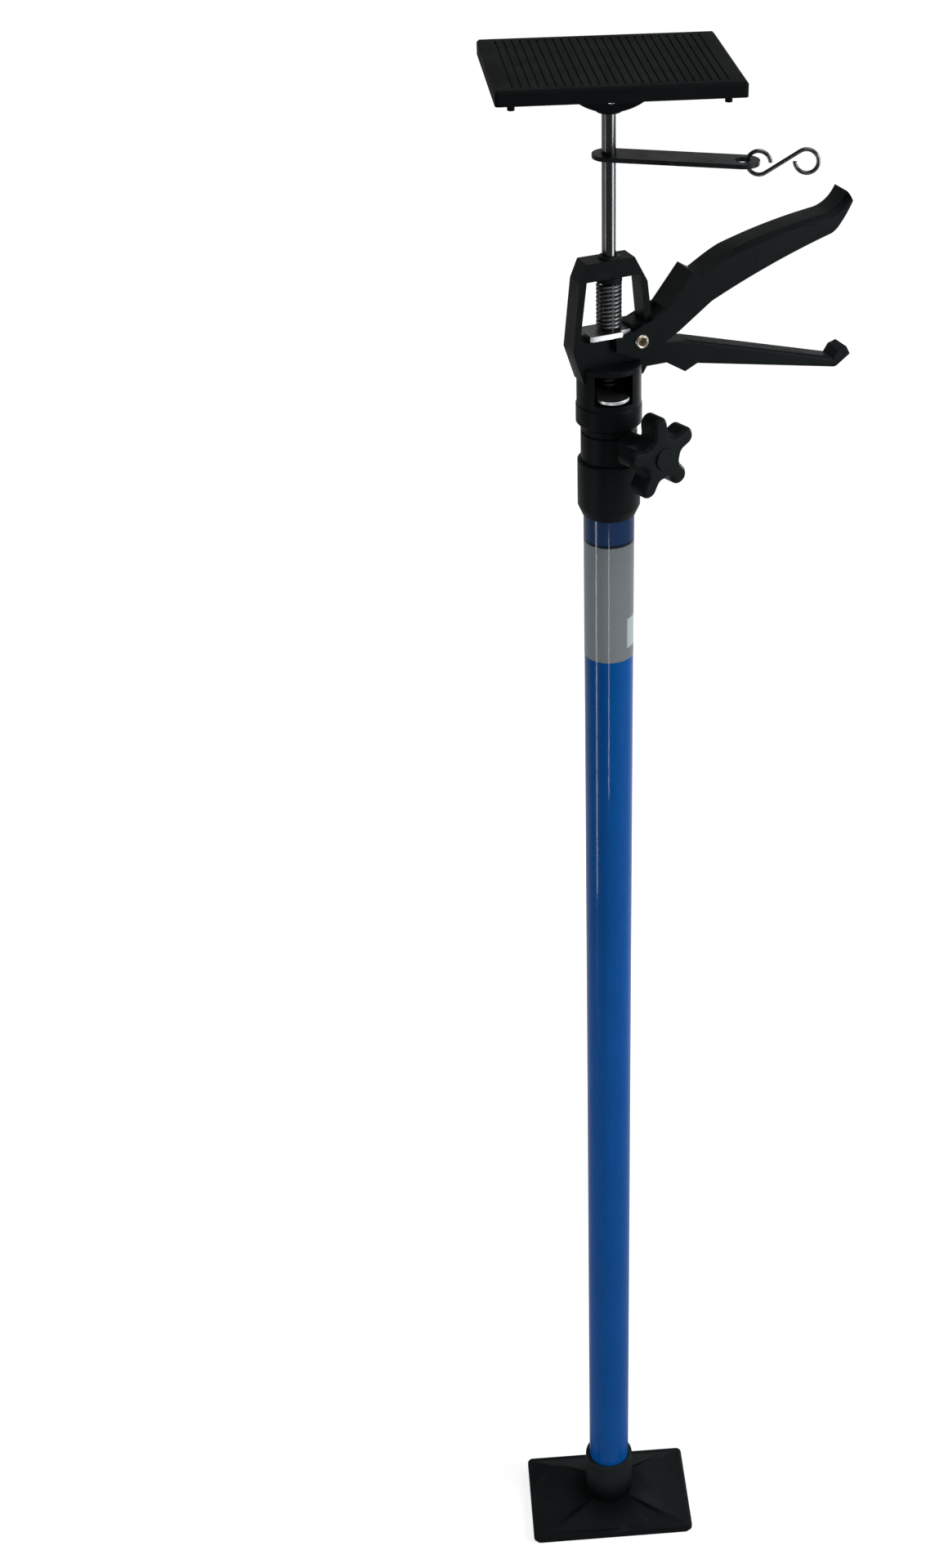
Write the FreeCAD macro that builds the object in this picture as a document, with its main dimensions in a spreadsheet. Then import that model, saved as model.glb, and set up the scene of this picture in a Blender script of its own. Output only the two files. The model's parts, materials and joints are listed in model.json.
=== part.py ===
import FreeCAD, Part
import math
import os
import Sketcher

# Telescopic prop with a pump head. Millimetres, +Z up.
# The origin is on the tube axis, at the underside of the foot.

Vector = FreeCAD.Vector
doc = FreeCAD.newDocument("telescopic_prop")

# Driving sizes. Lengths in millimetres, angles in degrees.
SIZES = [
    # foot
    ("foot_length", 124.0), ("foot_width", 80.0), ("foot_edge", 5.0), ("foot_corner", 4.0),
    ("foot_border", 4.0), ("foot_rise", 10.0), ("foot_round", 1.2), ("sole_thick", 3.0), ("sole_inset", 1.5),
    ("groove_pitch", 9.0), ("groove_width", 3.0), ("groove_depth", 1.4), ("groove_count", 12),
    ("socket_dia", 36.0), ("socket_height", 52.0), ("socket_floor", 4.0),
    # tubes and rod
    ("tube_dia", 30.0), ("tube_wall", 1.2), ("tube_length", 889.0),
    ("inner_dia", 25.0), ("inner_wall", 1.2), ("inner_length", 708.0),
    ("bush_length", 18.0), ("bush_end", 3.0), ("bush_seat", 0.9), ("slide_gap", 0.15), ("run_gap", 0.05),
    ("rod_dia", 8.0), ("rod_length", 314.0), ("rod_out", 87.1), ("rod_chamfer", 0.8),
    ("clip_dia", 19.0), ("clip_thick", 1.2), ("clip_end", 5.0), ("clip_seat", 1.0), ("clip_mouth", 5.0),
    # clamp collar and knob
    ("collar_grip", 30.0), ("collar_length", 57.5), ("collar_dia", 37.0), ("collar_cone", 6.0),
    ("collar_lip", 0.9), ("neck_length", 22.5), ("neck_dia", 33.0), ("neck_gap", 0.3), ("neck_ring", 1.4),
    ("neck_ring_depth", 0.7), ("edge_break", 0.8),
    ("knob_yaw", -54.0), ("knob_roll", -12.0), ("knob_drop", 7.5), ("boss_dia", 13.4), ("boss_reach", 26.0), ("boss_root", 13.6),
    ("insert_dia", 9.5), ("insert_length", 7.0), ("stud_dia", 6.0), ("thread_gap", 0.1),
    ("pad_dia", 8.0), ("pad_thick", 2.5), ("pad_pocket_gap", 0.3), ("pad_travel", 2.5), ("pad_play", 0.1),
    ("knob_gap", 1.5), ("knob_neck", 8.0), ("knob_neck_dia", 17.0), ("knob_thick", 12.0), ("knob_hub_dia", 28.0),
    ("knob_reach", 25.0), ("knob_arm", 11.0), ("knob_arms", 5), ("knob_valley", 4.5), ("knob_round", 2.0),
    ("knob_cap_dia", 13.0), ("knob_cap", 1.2), ("stud_sink", 12.0),
    # pump body
    ("head_yaw", 20.0), ("head_gap", 0.5), ("body_length", 37.0), ("body_dia", 37.5), ("lip_dia", 38.5),
    ("lip_length", 11.5), ("tube_socket", 14.0), ("ledge", 1.5), ("deck_thick", 3.5), ("cavity_dia", 30.0),
    ("rod_gap", 0.25), ("frame_thick", 13.0), ("window_height", 50.4), ("bridge_thick", 10.5),
    ("bridge_half", 16.5), ("bridge_slope", 8.0), ("leg_top_half", 21.0), ("leg_low_half", 25.4),
    ("leg_low_rise", 11.0), ("leg_thick", 4.4), ("leg_foot_drop", 9.0),
    ("lug_left", 5.0), ("lug_right", 8.0), ("lug_top", 10.0), ("web_rise", 15.0),
    ("seat_dia", 15.0), ("seat_height", 3.0), ("rivet_dia", 4.0), ("rivet_drop", 7.0),
    # guide bush of the bridge
    ("guide_dia", 11.0), ("guide_flange_dia", 12.4), ("guide_flange", 1.2),
    # pivot and trigger, places measured from the pivot
    ("pivot_out", 16.0), ("pivot_rise", 12.0), ("pivot_dia", 6.0), ("pivot_head_dia", 8.4), ("pivot_head", 1.2),
    ("trigger_thick", 20.0), ("cheek_gap", 0.3), ("slot_reach", 34.0), ("slot_wall", 4.0),
    ("toe_out", 16.0), ("toe_gap", 0.1), ("toe_clear", 0.7), ("toe_deep", 8.0), ("cheek_radius", 10.0),
    ("notch_out", 16.0), ("notch_up", 15.7), ("shoulder_out", 32.0), ("shoulder_up", 35.8),
    ("saddle_out", 38.3), ("saddle_up", 32.0), ("knee_out", 60.0), ("knee_up", 44.8),
    ("neck_out", 118.0), ("neck_up", 56.5), ("tip_out", 132.0), ("tip_up", 67.6),
    ("nose_out", 134.5), ("nose_up", 62.4), ("chin_out", 121.0), ("chin_up", 43.4),
    ("throat_out", 36.0), ("throat_up", 11.0), ("crotch_out", 23.8), ("crotch_up", 2.3),
    ("back_bulge", 1.2), ("tip_bulge", 2.2), ("chin_bulge", 1.0), ("belly_bulge", 2.0), ("grip_round", 4.0),
    # fixed handle, places measured from the pivot
    ("rest_root_out", 14.0), ("rest_root_down", 4.5), ("rest_top_out", 32.8), ("rest_top_down", 6.1),
    ("rest_end_out", 129.8), ("rest_end_down", 33.4), ("hook_in_out", 132.5), ("hook_in_down", 29.2),
    ("hook_tip_out", 137.8), ("hook_tip_down", 27.6), ("hook_nose_out", 140.5), ("hook_nose_down", 32.6),
    ("hook_chin_out", 130.2), ("hook_chin_down", 39.8), ("rest_low_out", 36.9), ("rest_low_down", 21.2),
    ("spur_out", 29.8), ("spur_down", 24.5), ("spur_in_out", 17.7), ("spur_in_down", 17.0), ("rest_round", 2.0),
    # drive plate and spring
    ("plate_rise", 16.0), ("plate_thick", 3.2), ("plate_left", 15.5), ("plate_wide_end", 4.5),
    ("plate_half", 9.0), ("plate_tongue", 10.5), ("plate_tongue_half", 6.2), ("plate_corner", 2.0),
    ("spring_dia", 14.8), ("spring_wire", 1.5), ("spring_turns", 9), ("spring_gap", 0.2),
    # brake
    ("brake_yaw", 5.0), ("brake_tilt", 7.0), ("brake_thick", 2.2), ("brake_half", 9.5), ("brake_front", 19.6),
    ("brake_shoulder", 14.0), ("brake_waist", 4.0), ("brake_back", 12.8), ("brake_back_half", 6.0),
    ("brake_hole_gap", 0.45), ("fulcrum_rise", 4.8), ("fulcrum_depth", 5.5), ("fulcrum_half", 7.0),
    ("fulcrum_gap", 0.3), ("brake_window_half", 11.0),
    ("brake_spring_dia", 14.0), ("brake_spring_wire", 1.4), ("brake_spring_turns", 3), ("brake_spring_lift", 0.3),
    # top
    ("top_yaw", 2.5), ("hub_dia", 14.0), ("hub_grip", 6.0), ("hub_web", 2.0), ("hub_thick", 14.0), ("hub_eye", 12.0),
    ("keeper_dia", 2.0), ("keeper_drop", 3.0), ("keeper_seat", 0.8), ("keeper_gap", 0.1),
    ("tilt_pin_dia", 5.0), ("tilt_head_dia", 8.0), ("tilt_head", 1.2), ("ear_drop", 8.5), ("ear_half", 28.5), ("ear_deep", 17.0),
    ("ear_thick", 3.5), ("ear_gap", 0.3), ("plate_inset", 4.0), ("top_thick", 4.0), ("top_corner", 5.0),
    ("pad_length", 132.0), ("pad_width", 104.0), ("pad_height", 8.0), ("pad_corner", 2.0), ("pad_bevel", 1.2), ("recess_gap", 0.3),
    ("rib_pitch", 4.5), ("rib_gap", 1.0), ("rib_depth", 0.8), ("rib_count", 26), ("rib_border", 6.0),
    ("plug_dia", 4.0), ("plug_bulb_dia", 5.6), ("plug_bulb", 1.6), ("plug_length", 4.2), ("plug_inset", 9.0),
    # hanger bar and hook
    ("bar_yaw", -15.0), ("bar_drop", 30.0), ("bar_width", 19.0), ("bar_thick", 2.5), ("bar_hole_out", 73.0),
    ("bar_hole_dia", 8.4), ("hook_wire", 2.2), ("hook_radius", 6.4), ("hook_span", 25.8), ("hook_shift", 2.3),
    ("hook_tilt", 5.0),
]

sheet = doc.addObject("Spreadsheet::Sheet", "Sizes")
for row, (alias, number) in enumerate(SIZES, start=1):
    sheet.set(f"A{row}", alias)
    sheet.set(f"B{row}", str(number))
    sheet.setAlias(f"B{row}", alias)
doc.recompute()


class Size:
    """A number together with the sheet expression that it comes from."""

    def __init__(self, number, text):
        self.number = float(number)
        self.text = text

    def __add__(self, other):
        other = size(other)
        return Size(self.number + other.number, f"({self.text} + {other.text})")

    def __sub__(self, other):
        other = size(other)
        return Size(self.number - other.number, f"({self.text} - {other.text})")

    def __rsub__(self, other):
        return size(other) - self

    def __mul__(self, other):
        other = size(other)
        return Size(self.number * other.number, f"({self.text} * {other.text})")

    def __truediv__(self, other):
        other = size(other)
        return Size(self.number / other.number, f"({self.text} / {other.text})")

    def __neg__(self):
        return Size(-self.number, f"(0 - {self.text})")

    __radd__ = __add__
    __rmul__ = __mul__


def size(value):
    return value if isinstance(value, Size) else Size(value, repr(float(value)))


def root(value):
    return Size(math.sqrt(value.number), f"sqrt({value.text})")


def tangent(angle):
    return Size(math.tan(math.radians(angle.number)), f"tan({angle.text})")


def bind(feature, prop, value):
    value = size(value)
    whole = isinstance(getattr(feature, prop), int)
    setattr(feature, prop, round(value.number) if whole else value.number)
    feature.setExpression(prop, value.text)


class Named:
    """Every driving size by its own name."""


S = Named()
for alias, number in SIZES:
    setattr(S, alias, Size(sheet.get(alias), f"Sizes.{alias}"))


# Heights along the tube axis and other shared sizes.
tube_floor = S.sole_thick + S.socket_floor
tube_top = tube_floor + S.tube_length
collar_bottom = tube_top - S.collar_grip
collar_top = collar_bottom + S.collar_length
neck_bottom = collar_top - S.neck_length
knob_height = collar_top - S.knob_drop
head_bottom = collar_top + S.head_gap
inner_top = head_bottom + S.tube_socket
inner_bottom = inner_top - S.inner_length
cavity_floor = inner_top + S.ledge
deck = head_bottom + S.body_length
cavity_top = deck - S.deck_thick
pivot_height = deck + S.pivot_rise
plate_low = deck + S.plate_rise
plate_high = plate_low + S.plate_thick
window_top = deck + S.window_height
bridge_top = window_top + S.bridge_thick
seat_low = window_top - S.seat_height
rod_top = bridge_top + S.rod_out
rod_low = rod_top - S.rod_length
keeper_height = rod_top - S.keeper_drop
tilt_height = rod_top + S.hub_web + S.tilt_pin_dia / 2
top_low = tilt_height + S.ear_drop
recess_top = top_low + S.top_thick
bar_height = rod_top - S.bar_drop

tube_radius = S.tube_dia / 2
tube_bore = tube_radius - S.tube_wall
inner_radius = S.inner_dia / 2
inner_bore = inner_radius - S.inner_wall
rod_radius = S.rod_dia / 2
rod_hole = rod_radius + S.rod_gap
cheek_inner = S.frame_thick / 2 + S.cheek_gap
pad_face = inner_radius + S.pad_play
pad_back = pad_face + S.pad_thick
knob_back = S.boss_reach + S.knob_gap
knob_face = knob_back + S.knob_neck + S.knob_thick
brake_drop = tangent(S.brake_tilt)
fulcrum_front = S.cavity_dia / 2 - S.fulcrum_depth
brake_height = cavity_floor + S.fulcrum_rise + S.fulcrum_gap + (S.brake_back - fulcrum_front) * brake_drop

parts = []


def place(part, label, yaw=None, height=None):
    part.Label = label
    turn = FreeCAD.Rotation(Vector(0, 0, 1), yaw.number if yaw else 0.0)
    part.Placement = FreeCAD.Placement(Vector(0, 0, height.number if height else 0.0), turn)
    parts.append(part)
    return part


def new_body(label, yaw=None, height=None):
    return place(doc.addObject("PartDesign::Body", label), label, yaw, height)


def datum(body, role):
    return next(item for item in body.Origin.OriginFeatures if item.Role == role)


def new_sketch(body, plane, offset=None, turn=None):
    drawing = body.newObject("Sketcher::SketchObject", body.Label + "_sketch")
    drawing.AttachmentSupport = [(datum(body, plane + "_Plane"), "")]
    drawing.MapMode = "FlatFace"
    if turn:
        swing = FreeCAD.Rotation(Vector(0, 1, 0), turn.number)
        drawing.AttachmentOffset = FreeCAD.Placement(Vector(0, 0, 0), swing)
    if offset is not None:
        offset = size(offset)
        drawing.AttachmentOffset = FreeCAD.Placement(Vector(0, 0, offset.number), FreeCAD.Rotation())
        drawing.setExpression("AttachmentOffset.Base.z", offset.text)
    return drawing


def pin_point(drawing, rules, texts, curve, end, x, y):
    for kind, value, axis in (("DistanceX", x, -2), ("DistanceY", y, -1)):
        if value.number == 0.0:
            rules.append(Sketcher.Constraint("PointOnObject", curve, end, axis))
            texts.append(None)
        else:
            rules.append(Sketcher.Constraint(kind, -1, 1, curve, end, value.number))
            texts.append(value.text)


def apply_rules(drawing, rules, texts):
    first = drawing.ConstraintCount
    drawing.addConstraint(rules)
    for step, text in enumerate(texts):
        if text:
            drawing.setExpression(f"Constraints[{first + step}]", text)


def draw_outline(drawing, points, closed=True):
    # A point is (x, y) or (x, y, bulge). The bulge bows the edge that leaves the point to its right.
    corners = [tuple(size(value) for value in point) for point in points]
    count = len(corners)
    ends = []
    rules = []
    texts = []
    edges = count if closed else count - 1
    first = drawing.GeometryCount
    for step in range(edges):
        corner = corners[step]
        following = corners[(step + 1) % count]
        start = Vector(corner[0].number, corner[1].number, 0)
        end = Vector(following[0].number, following[1].number, 0)
        if len(corner) == 2:
            drawing.addGeometry(Part.LineSegment(start, end), False)
            ends.append((1, 2))
            continue
        across = following[0] - corner[0]
        along = following[1] - corner[1]
        bulge = corner[2]
        height = bulge if bulge.number > 0 else -bulge
        radius = ((across * across + along * along) / 4 + height * height) / (2 * height)
        right = Vector(along.number, -across.number, 0).normalize()
        inward = right * (-1 if bulge.number > 0 else 1)
        centre = (start + end) / 2 + inward * (radius.number - height.number)
        angles = [math.atan2(point.y - centre.y, point.x - centre.x) for point in (start, end)]
        if bulge.number < 0:
            angles.reverse()
        if angles[1] < angles[0]:
            angles[1] += 2 * math.pi
        circle = Part.Circle(centre, Vector(0, 0, 1), radius.number)
        curve = drawing.addGeometry(Part.ArcOfCircle(circle, angles[0], angles[1]), False)
        ends.append((1, 2) if bulge.number > 0 else (2, 1))
        half_turn = abs((end - start).Length - 2 * height.number) < 1e-6
        if half_turn and abs(across.number) < 1e-6:
            rules.append(Sketcher.Constraint("Vertical", curve, 3, curve, 1))
            texts.append(None)
        elif half_turn and abs(along.number) < 1e-6:
            rules.append(Sketcher.Constraint("Horizontal", curve, 3, curve, 1))
            texts.append(None)
        else:
            rules.append(Sketcher.Constraint("Radius", curve, radius.number))
            texts.append(radius.text)
    for step in range(edges):
        following = (step + 1) % count
        if following < edges:
            rules.append(Sketcher.Constraint(
                "Coincident", first + step, ends[step][1], first + following, ends[following][0]))
            texts.append(None)
        pin_point(drawing, rules, texts, first + step, ends[step][0], corners[step][0], corners[step][1])
    if not closed:
        pin_point(drawing, rules, texts, first + edges - 1, ends[-1][1], corners[-1][0], corners[-1][1])
    apply_rules(drawing, rules, texts)


def draw_circle(drawing, x, y, radius):
    x, y, radius = size(x), size(y), size(radius)
    circle = Part.Circle(Vector(x.number, y.number, 0), Vector(0, 0, 1), radius.number)
    curve = drawing.addGeometry(circle, False)
    rules = [Sketcher.Constraint("Radius", curve, radius.number)]
    texts = [radius.text]
    pin_point(drawing, rules, texts, curve, 3, x, y)
    apply_rules(drawing, rules, texts)


def draw_rectangle(drawing, x_low, y_low, x_high, y_high):
    draw_outline(drawing, [(x_low, y_low), (x_high, y_low), (x_high, y_high), (x_low, y_high)])


def draw_rounded(drawing, length, width, corner):
    x, y = length / 2, width / 2
    bulge = corner * (1 - math.sqrt(0.5))
    draw_outline(drawing, [
        (-x + corner, -y), (x - corner, -y, bulge), (x, -y + corner), (x, y - corner, bulge),
        (x - corner, y), (-x + corner, y, bulge), (-x, y - corner), (-x, -y + corner, bulge)])


def draw_octagon(drawing, x, width):
    half = width / 2
    part_way = half * math.tan(math.radians(22.5))
    draw_outline(drawing, [
        (x + half, -part_way), (x + half, part_way), (x + part_way, half), (x - part_way, half),
        (x - half, part_way), (x - half, -part_way), (x - part_way, -half), (x + part_way, -half)])


def add_feature(body, kind, drawing):
    feature = body.newObject("PartDesign::" + kind, body.Label + "_" + kind.lower())
    feature.Profile = drawing
    drawing.Visibility = False
    return feature


def pad(body, drawing, length, symmetric=False, downward=False):
    feature = add_feature(body, "Pad", drawing)
    bind(feature, "Length", length)
    feature.SideType = "Symmetric" if symmetric else "One side"
    feature.Reversed = downward
    body.Tip = feature
    return feature


def pocket(body, drawing, length, symmetric=False, flip=False):
    doc.recompute()
    before = body.Shape.Volume
    feature = add_feature(body, "Pocket", drawing)
    bind(feature, "Length", length)
    feature.SideType = "Symmetric" if symmetric else "One side"
    feature.Reversed = flip
    body.Tip = feature
    doc.recompute()
    if body.Shape.Volume >= before:
        raise RuntimeError(f"{body.Label}: a cut removes nothing")
    return feature


def revolve(body, drawing, cut=False):
    feature = add_feature(body, "Groove" if cut else "Revolution", drawing)
    feature.ReferenceAxis = (drawing, ["V_Axis"])
    feature.Angle = 360
    body.Tip = feature
    return feature


def repeat(body, kind, feature, **settings):
    pattern = body.newObject("PartDesign::" + kind, body.Label + "_" + kind.lower())
    pattern.Originals = [feature]
    for name, value in settings.items():
        if isinstance(value, Size):
            bind(pattern, name, value)
        else:
            setattr(pattern, name, value)
    body.Tip = pattern
    doc.recompute()
    return pattern


def soften(body, kind, amount, chosen):
    doc.recompute()
    base = body.Tip
    names = [f"Edge{step}" for step, edge in enumerate(base.Shape.Edges, start=1) if chosen(edge)]
    feature = body.newObject("PartDesign::" + kind, body.Label + "_" + kind.lower())
    feature.Base = (base, names)
    bind(feature, "Radius" if kind == "Fillet" else "Size", amount)
    body.Tip = feature
    doc.recompute()
    if not feature.isValid() or feature.Shape.isNull():
        raise RuntimeError(f"{body.Label}: {kind} on {len(names)} edges fails")
    return feature


def flat_at(edge, height):
    box = edge.BoundBox
    return abs(box.ZMin - height.number) < 1e-4 and abs(box.ZMax - height.number) < 1e-4


# Foot: a moulded plate with a creased, rising top and a round socket for the tube.
def make_foot_plate():
    body = new_body("foot_plate")
    border = new_sketch(body, "XY", S.sole_thick)
    draw_rounded(border, S.foot_length, S.foot_width, S.foot_corner)
    pad(body, border, S.foot_edge)
    edge_top = S.sole_thick + S.foot_edge
    soften(body, "Chamfer", S.foot_round, lambda edge: flat_at(edge, edge_top))
    crown_top = edge_top + S.foot_rise
    half = S.socket_dia * 0.3
    end = S.foot_length / 2 - S.foot_border
    side = S.foot_width / 2 - S.foot_border
    crown = new_sketch(body, "XZ")
    draw_outline(crown, [(-end, edge_top), (end, edge_top), (half, crown_top), (-half, crown_top)])
    pad(body, crown, side * 2, symmetric=True)
    slope = new_sketch(body, "YZ")
    above = crown_top + S.foot_border
    draw_outline(slope, [(side, edge_top), (side, above), (half, above), (half, crown_top)])
    draw_outline(slope, [(-side, edge_top), (-half, crown_top), (-half, above), (-side, above)])
    pocket(body, slope, S.foot_length * 2, symmetric=True)
    socket = new_sketch(body, "XY", S.sole_thick)
    draw_circle(socket, 0, 0, S.socket_dia / 2)
    pad(body, socket, S.socket_height)
    rim = S.sole_thick + S.socket_height
    bore = new_sketch(body, "XY", rim)
    draw_circle(bore, 0, 0, tube_radius)
    pocket(body, bore, rim - tube_floor)
    outside = S.socket_dia.number / 2 - 0.01
    soften(body, "Chamfer", S.edge_break, lambda edge: flat_at(edge, rim) and edge.BoundBox.XMax > outside)


def make_foot_sole():
    body = new_body("foot_sole")
    face = new_sketch(body, "XY")
    length = S.foot_length - S.sole_inset * 2
    width = S.foot_width - S.sole_inset * 2
    draw_rounded(face, length, width, S.foot_corner)
    pad(body, face, S.sole_thick)
    first = -(S.groove_count - 1) * S.groove_pitch / 2
    groove = new_sketch(body, "XY")
    reach = width / 2 - S.foot_border
    draw_rectangle(groove, first - S.groove_width / 2, -reach, first + S.groove_width / 2, reach)
    cut = pocket(body, groove, S.groove_depth, flip=True)
    repeat(body, "LinearPattern", cut, Direction=(datum(body, "X_Axis"), [""]),
           Length=(S.groove_count - 1) * S.groove_pitch, Occurrences=S.groove_count)


def make_outer_tube():
    body = new_body("outer_tube")
    ring = new_sketch(body, "XY", tube_floor)
    draw_circle(ring, 0, 0, tube_radius)
    draw_circle(ring, 0, 0, tube_bore)
    pad(body, ring, S.tube_length)


# Collar: pushed over the tube's top end, with a narrower neck that guides the inner tube.
def make_clamp_collar():
    body = new_body("clamp_collar", S.knob_yaw)
    wide = S.collar_dia / 2
    neck = S.neck_dia / 2
    ring = collar_top - S.edge_break * 5
    shape = new_sketch(body, "XZ")
    draw_outline(shape, [
        (tube_radius, collar_bottom), (tube_radius + S.collar_lip, collar_bottom),
        (wide, collar_bottom + S.collar_cone), (wide, neck_bottom - S.edge_break),
        (wide - S.edge_break, neck_bottom), (neck, neck_bottom),
        (neck, ring - S.neck_ring), (neck - S.neck_ring_depth, ring - S.neck_ring),
        (neck - S.neck_ring_depth, ring), (neck, ring),
        (neck, collar_top - S.edge_break), (neck - S.edge_break, collar_top),
        (inner_radius + S.neck_gap, collar_top), (inner_radius + S.neck_gap, tube_top),
        (tube_radius, tube_top)])
    revolve(body, shape)
    boss = new_sketch(body, "YZ", S.boss_root)
    draw_circle(boss, 0, knob_height, S.boss_dia / 2)
    pad(body, boss, S.boss_reach - S.boss_root)
    hole = new_sketch(body, "YZ", S.boss_reach)
    draw_circle(hole, 0, knob_height, S.stud_dia / 2 + S.thread_gap)
    pocket(body, hole, S.boss_reach)
    seat = new_sketch(body, "YZ", S.boss_reach)
    draw_circle(seat, 0, knob_height, S.insert_dia / 2)
    pocket(body, seat, S.insert_length)
    well = new_sketch(body, "YZ")
    draw_circle(well, 0, knob_height, S.pad_dia / 2 + S.pad_pocket_gap)
    pocket(body, well, pad_back + S.pad_travel + S.pad_pocket_gap, flip=True)


def make_clamp_insert():
    body = new_body("clamp_insert", S.knob_yaw)
    ring = new_sketch(body, "YZ", S.boss_reach - S.insert_length)
    draw_circle(ring, 0, knob_height, S.insert_dia / 2)
    draw_circle(ring, 0, knob_height, S.stud_dia / 2 + S.thread_gap)
    pad(body, ring, S.insert_length)


def make_clamp_pad():
    body = new_body("clamp_pad", S.knob_yaw)
    disc = new_sketch(body, "YZ", pad_face)
    draw_circle(disc, 0, knob_height, S.pad_dia / 2)
    pad(body, disc, S.pad_thick)


def make_clamp_stud():
    body = new_body("clamp_stud", S.knob_yaw)
    end = new_sketch(body, "YZ", pad_back + S.pad_play)
    draw_circle(end, 0, knob_height, S.stud_dia / 2)
    pad(body, end, knob_back + S.stud_sink - pad_back - S.pad_play)


def make_clamp_knob():
    body = new_body("clamp_knob")
    neck = new_sketch(body, "YZ", knob_back)
    draw_circle(neck, 0, 0, S.knob_neck_dia / 2)
    pad(body, neck, S.knob_neck)
    back = knob_back + S.knob_neck
    hub = new_sketch(body, "YZ", back)
    draw_circle(hub, 0, 0, S.knob_hub_dia / 2)
    pad(body, hub, S.knob_thick)
    half = S.knob_arm / 2
    arm = new_sketch(body, "YZ", back)
    draw_outline(arm, [(0, half), (half - S.knob_reach, half, half), (half - S.knob_reach, -half), (0, -half)])
    spoke = pad(body, arm, S.knob_thick)
    repeat(body, "PolarPattern", spoke, Axis=(datum(body, "X_Axis"), [""]), Angle=360, Occurrences=S.knob_arms)
    valley = math.sqrt(S.knob_hub_dia.number ** 2 - S.knob_arm.number ** 2) / 2

    def in_valley(edge):
        box = edge.BoundBox
        spread = math.hypot(box.Center.y, box.Center.z)
        straight = box.XLength > S.knob_thick.number - 0.01 and box.YLength + box.ZLength < 0.01
        return straight and abs(spread - math.hypot(valley, half.number)) < 0.05

    soften(body, "Fillet", S.knob_valley, in_valley)
    soften(body, "Chamfer", S.knob_round,
           lambda edge: edge.BoundBox.XMin > knob_face.number - 0.01 and edge.BoundBox.XLength < 0.01)
    cap = new_sketch(body, "YZ", knob_face)
    draw_circle(cap, 0, 0, S.knob_cap_dia / 2)
    pad(body, cap, S.knob_cap)
    bore = new_sketch(body, "YZ", knob_back)
    draw_circle(bore, 0, 0, S.stud_dia / 2)
    pocket(body, bore, S.stud_sink, flip=True)
    yaw = FreeCAD.Rotation(Vector(0, 0, 1), S.knob_yaw.number)
    roll = FreeCAD.Rotation(Vector(1, 0, 0), S.knob_roll.number)
    body.Placement = FreeCAD.Placement(Vector(0, 0, knob_height.number), yaw.multiply(roll))


# Inner tube, swaged in near its lower end to carry the guide bush.
def make_inner_tube():
    body = new_body("inner_tube", S.head_yaw)
    low = inner_bottom + S.bush_end
    high = low + S.bush_length + S.run_gap * 2
    slim = inner_radius - S.bush_seat
    thin = inner_bore - S.bush_seat
    shape = new_sketch(body, "XZ")
    draw_outline(shape, [
        (inner_bore, inner_bottom), (inner_radius, inner_bottom), (inner_radius, low), (slim, low),
        (slim, high), (inner_radius, high), (inner_radius, inner_top), (inner_bore, inner_top),
        (inner_bore, high + S.inner_wall), (thin, high + S.inner_wall), (thin, low - S.inner_wall),
        (inner_bore, low - S.inner_wall)])
    revolve(body, shape)
    hole = new_sketch(body, "XZ")
    draw_circle(hole, 0, head_bottom + S.rivet_drop, S.rivet_dia / 2)
    pocket(body, hole, S.inner_dia, flip=False)


def make_guide_bush():
    body = new_body("guide_bush")
    low = inner_bottom + S.bush_end + S.run_gap
    high = low + S.bush_length
    inside = inner_radius - S.bush_seat + S.run_gap
    outside = tube_bore - S.slide_gap
    shape = new_sketch(body, "XZ")
    draw_outline(shape, [
        (inside, low), (outside - S.edge_break, low), (outside, low + S.edge_break),
        (outside, high - S.edge_break), (outside - S.edge_break, high), (inside, high)])
    revolve(body, shape)


# Pump body: tube socket, brake housing, deck, yoke and fixed handle in one moulding.
def make_pump_body():
    body = new_body("pump_body", S.head_yaw)
    barrel_radius = S.body_dia / 2
    lip_radius = S.lip_dia / 2
    barrel = new_sketch(body, "XZ")
    lip_top = head_bottom + S.lip_length
    draw_outline(barrel, [
        (0, head_bottom), (lip_radius - S.edge_break, head_bottom), (lip_radius, head_bottom + S.edge_break),
        (lip_radius, lip_top), (barrel_radius, lip_top + S.edge_break), (barrel_radius, deck - S.edge_break),
        (barrel_radius - S.edge_break, deck), (0, deck)])
    revolve(body, barrel)
    make_yoke(body, barrel_radius)
    make_fixed_handle(body)
    seat = new_sketch(body, "XY", seat_low)
    draw_circle(seat, 0, 0, S.seat_dia / 2)
    pad(body, seat, S.seat_height)
    bores = new_sketch(body, "XZ")
    draw_outline(bores, [
        (0, head_bottom), (inner_radius, head_bottom), (inner_radius, inner_top), (inner_bore, inner_top),
        (inner_bore, cavity_floor), (S.cavity_dia / 2, cavity_floor), (S.cavity_dia / 2, cavity_top),
        (rod_hole, cavity_top), (rod_hole, window_top), (0, window_top)])
    revolve(body, bores, cut=True)
    guide = new_sketch(body, "XY", bridge_top)
    draw_circle(guide, 0, 0, S.guide_dia / 2)
    pocket(body, guide, bridge_top - seat_low)
    make_brake_housing(body)
    hole = new_sketch(body, "XZ")
    draw_circle(hole, S.pivot_out, pivot_height, S.pivot_dia / 2)
    pocket(body, hole, S.frame_thick * 2, symmetric=True)
    rivet = new_sketch(body, "XZ")
    draw_circle(rivet, 0, head_bottom + S.rivet_drop, S.rivet_dia / 2)
    pocket(body, rivet, S.lip_dia)


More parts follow.
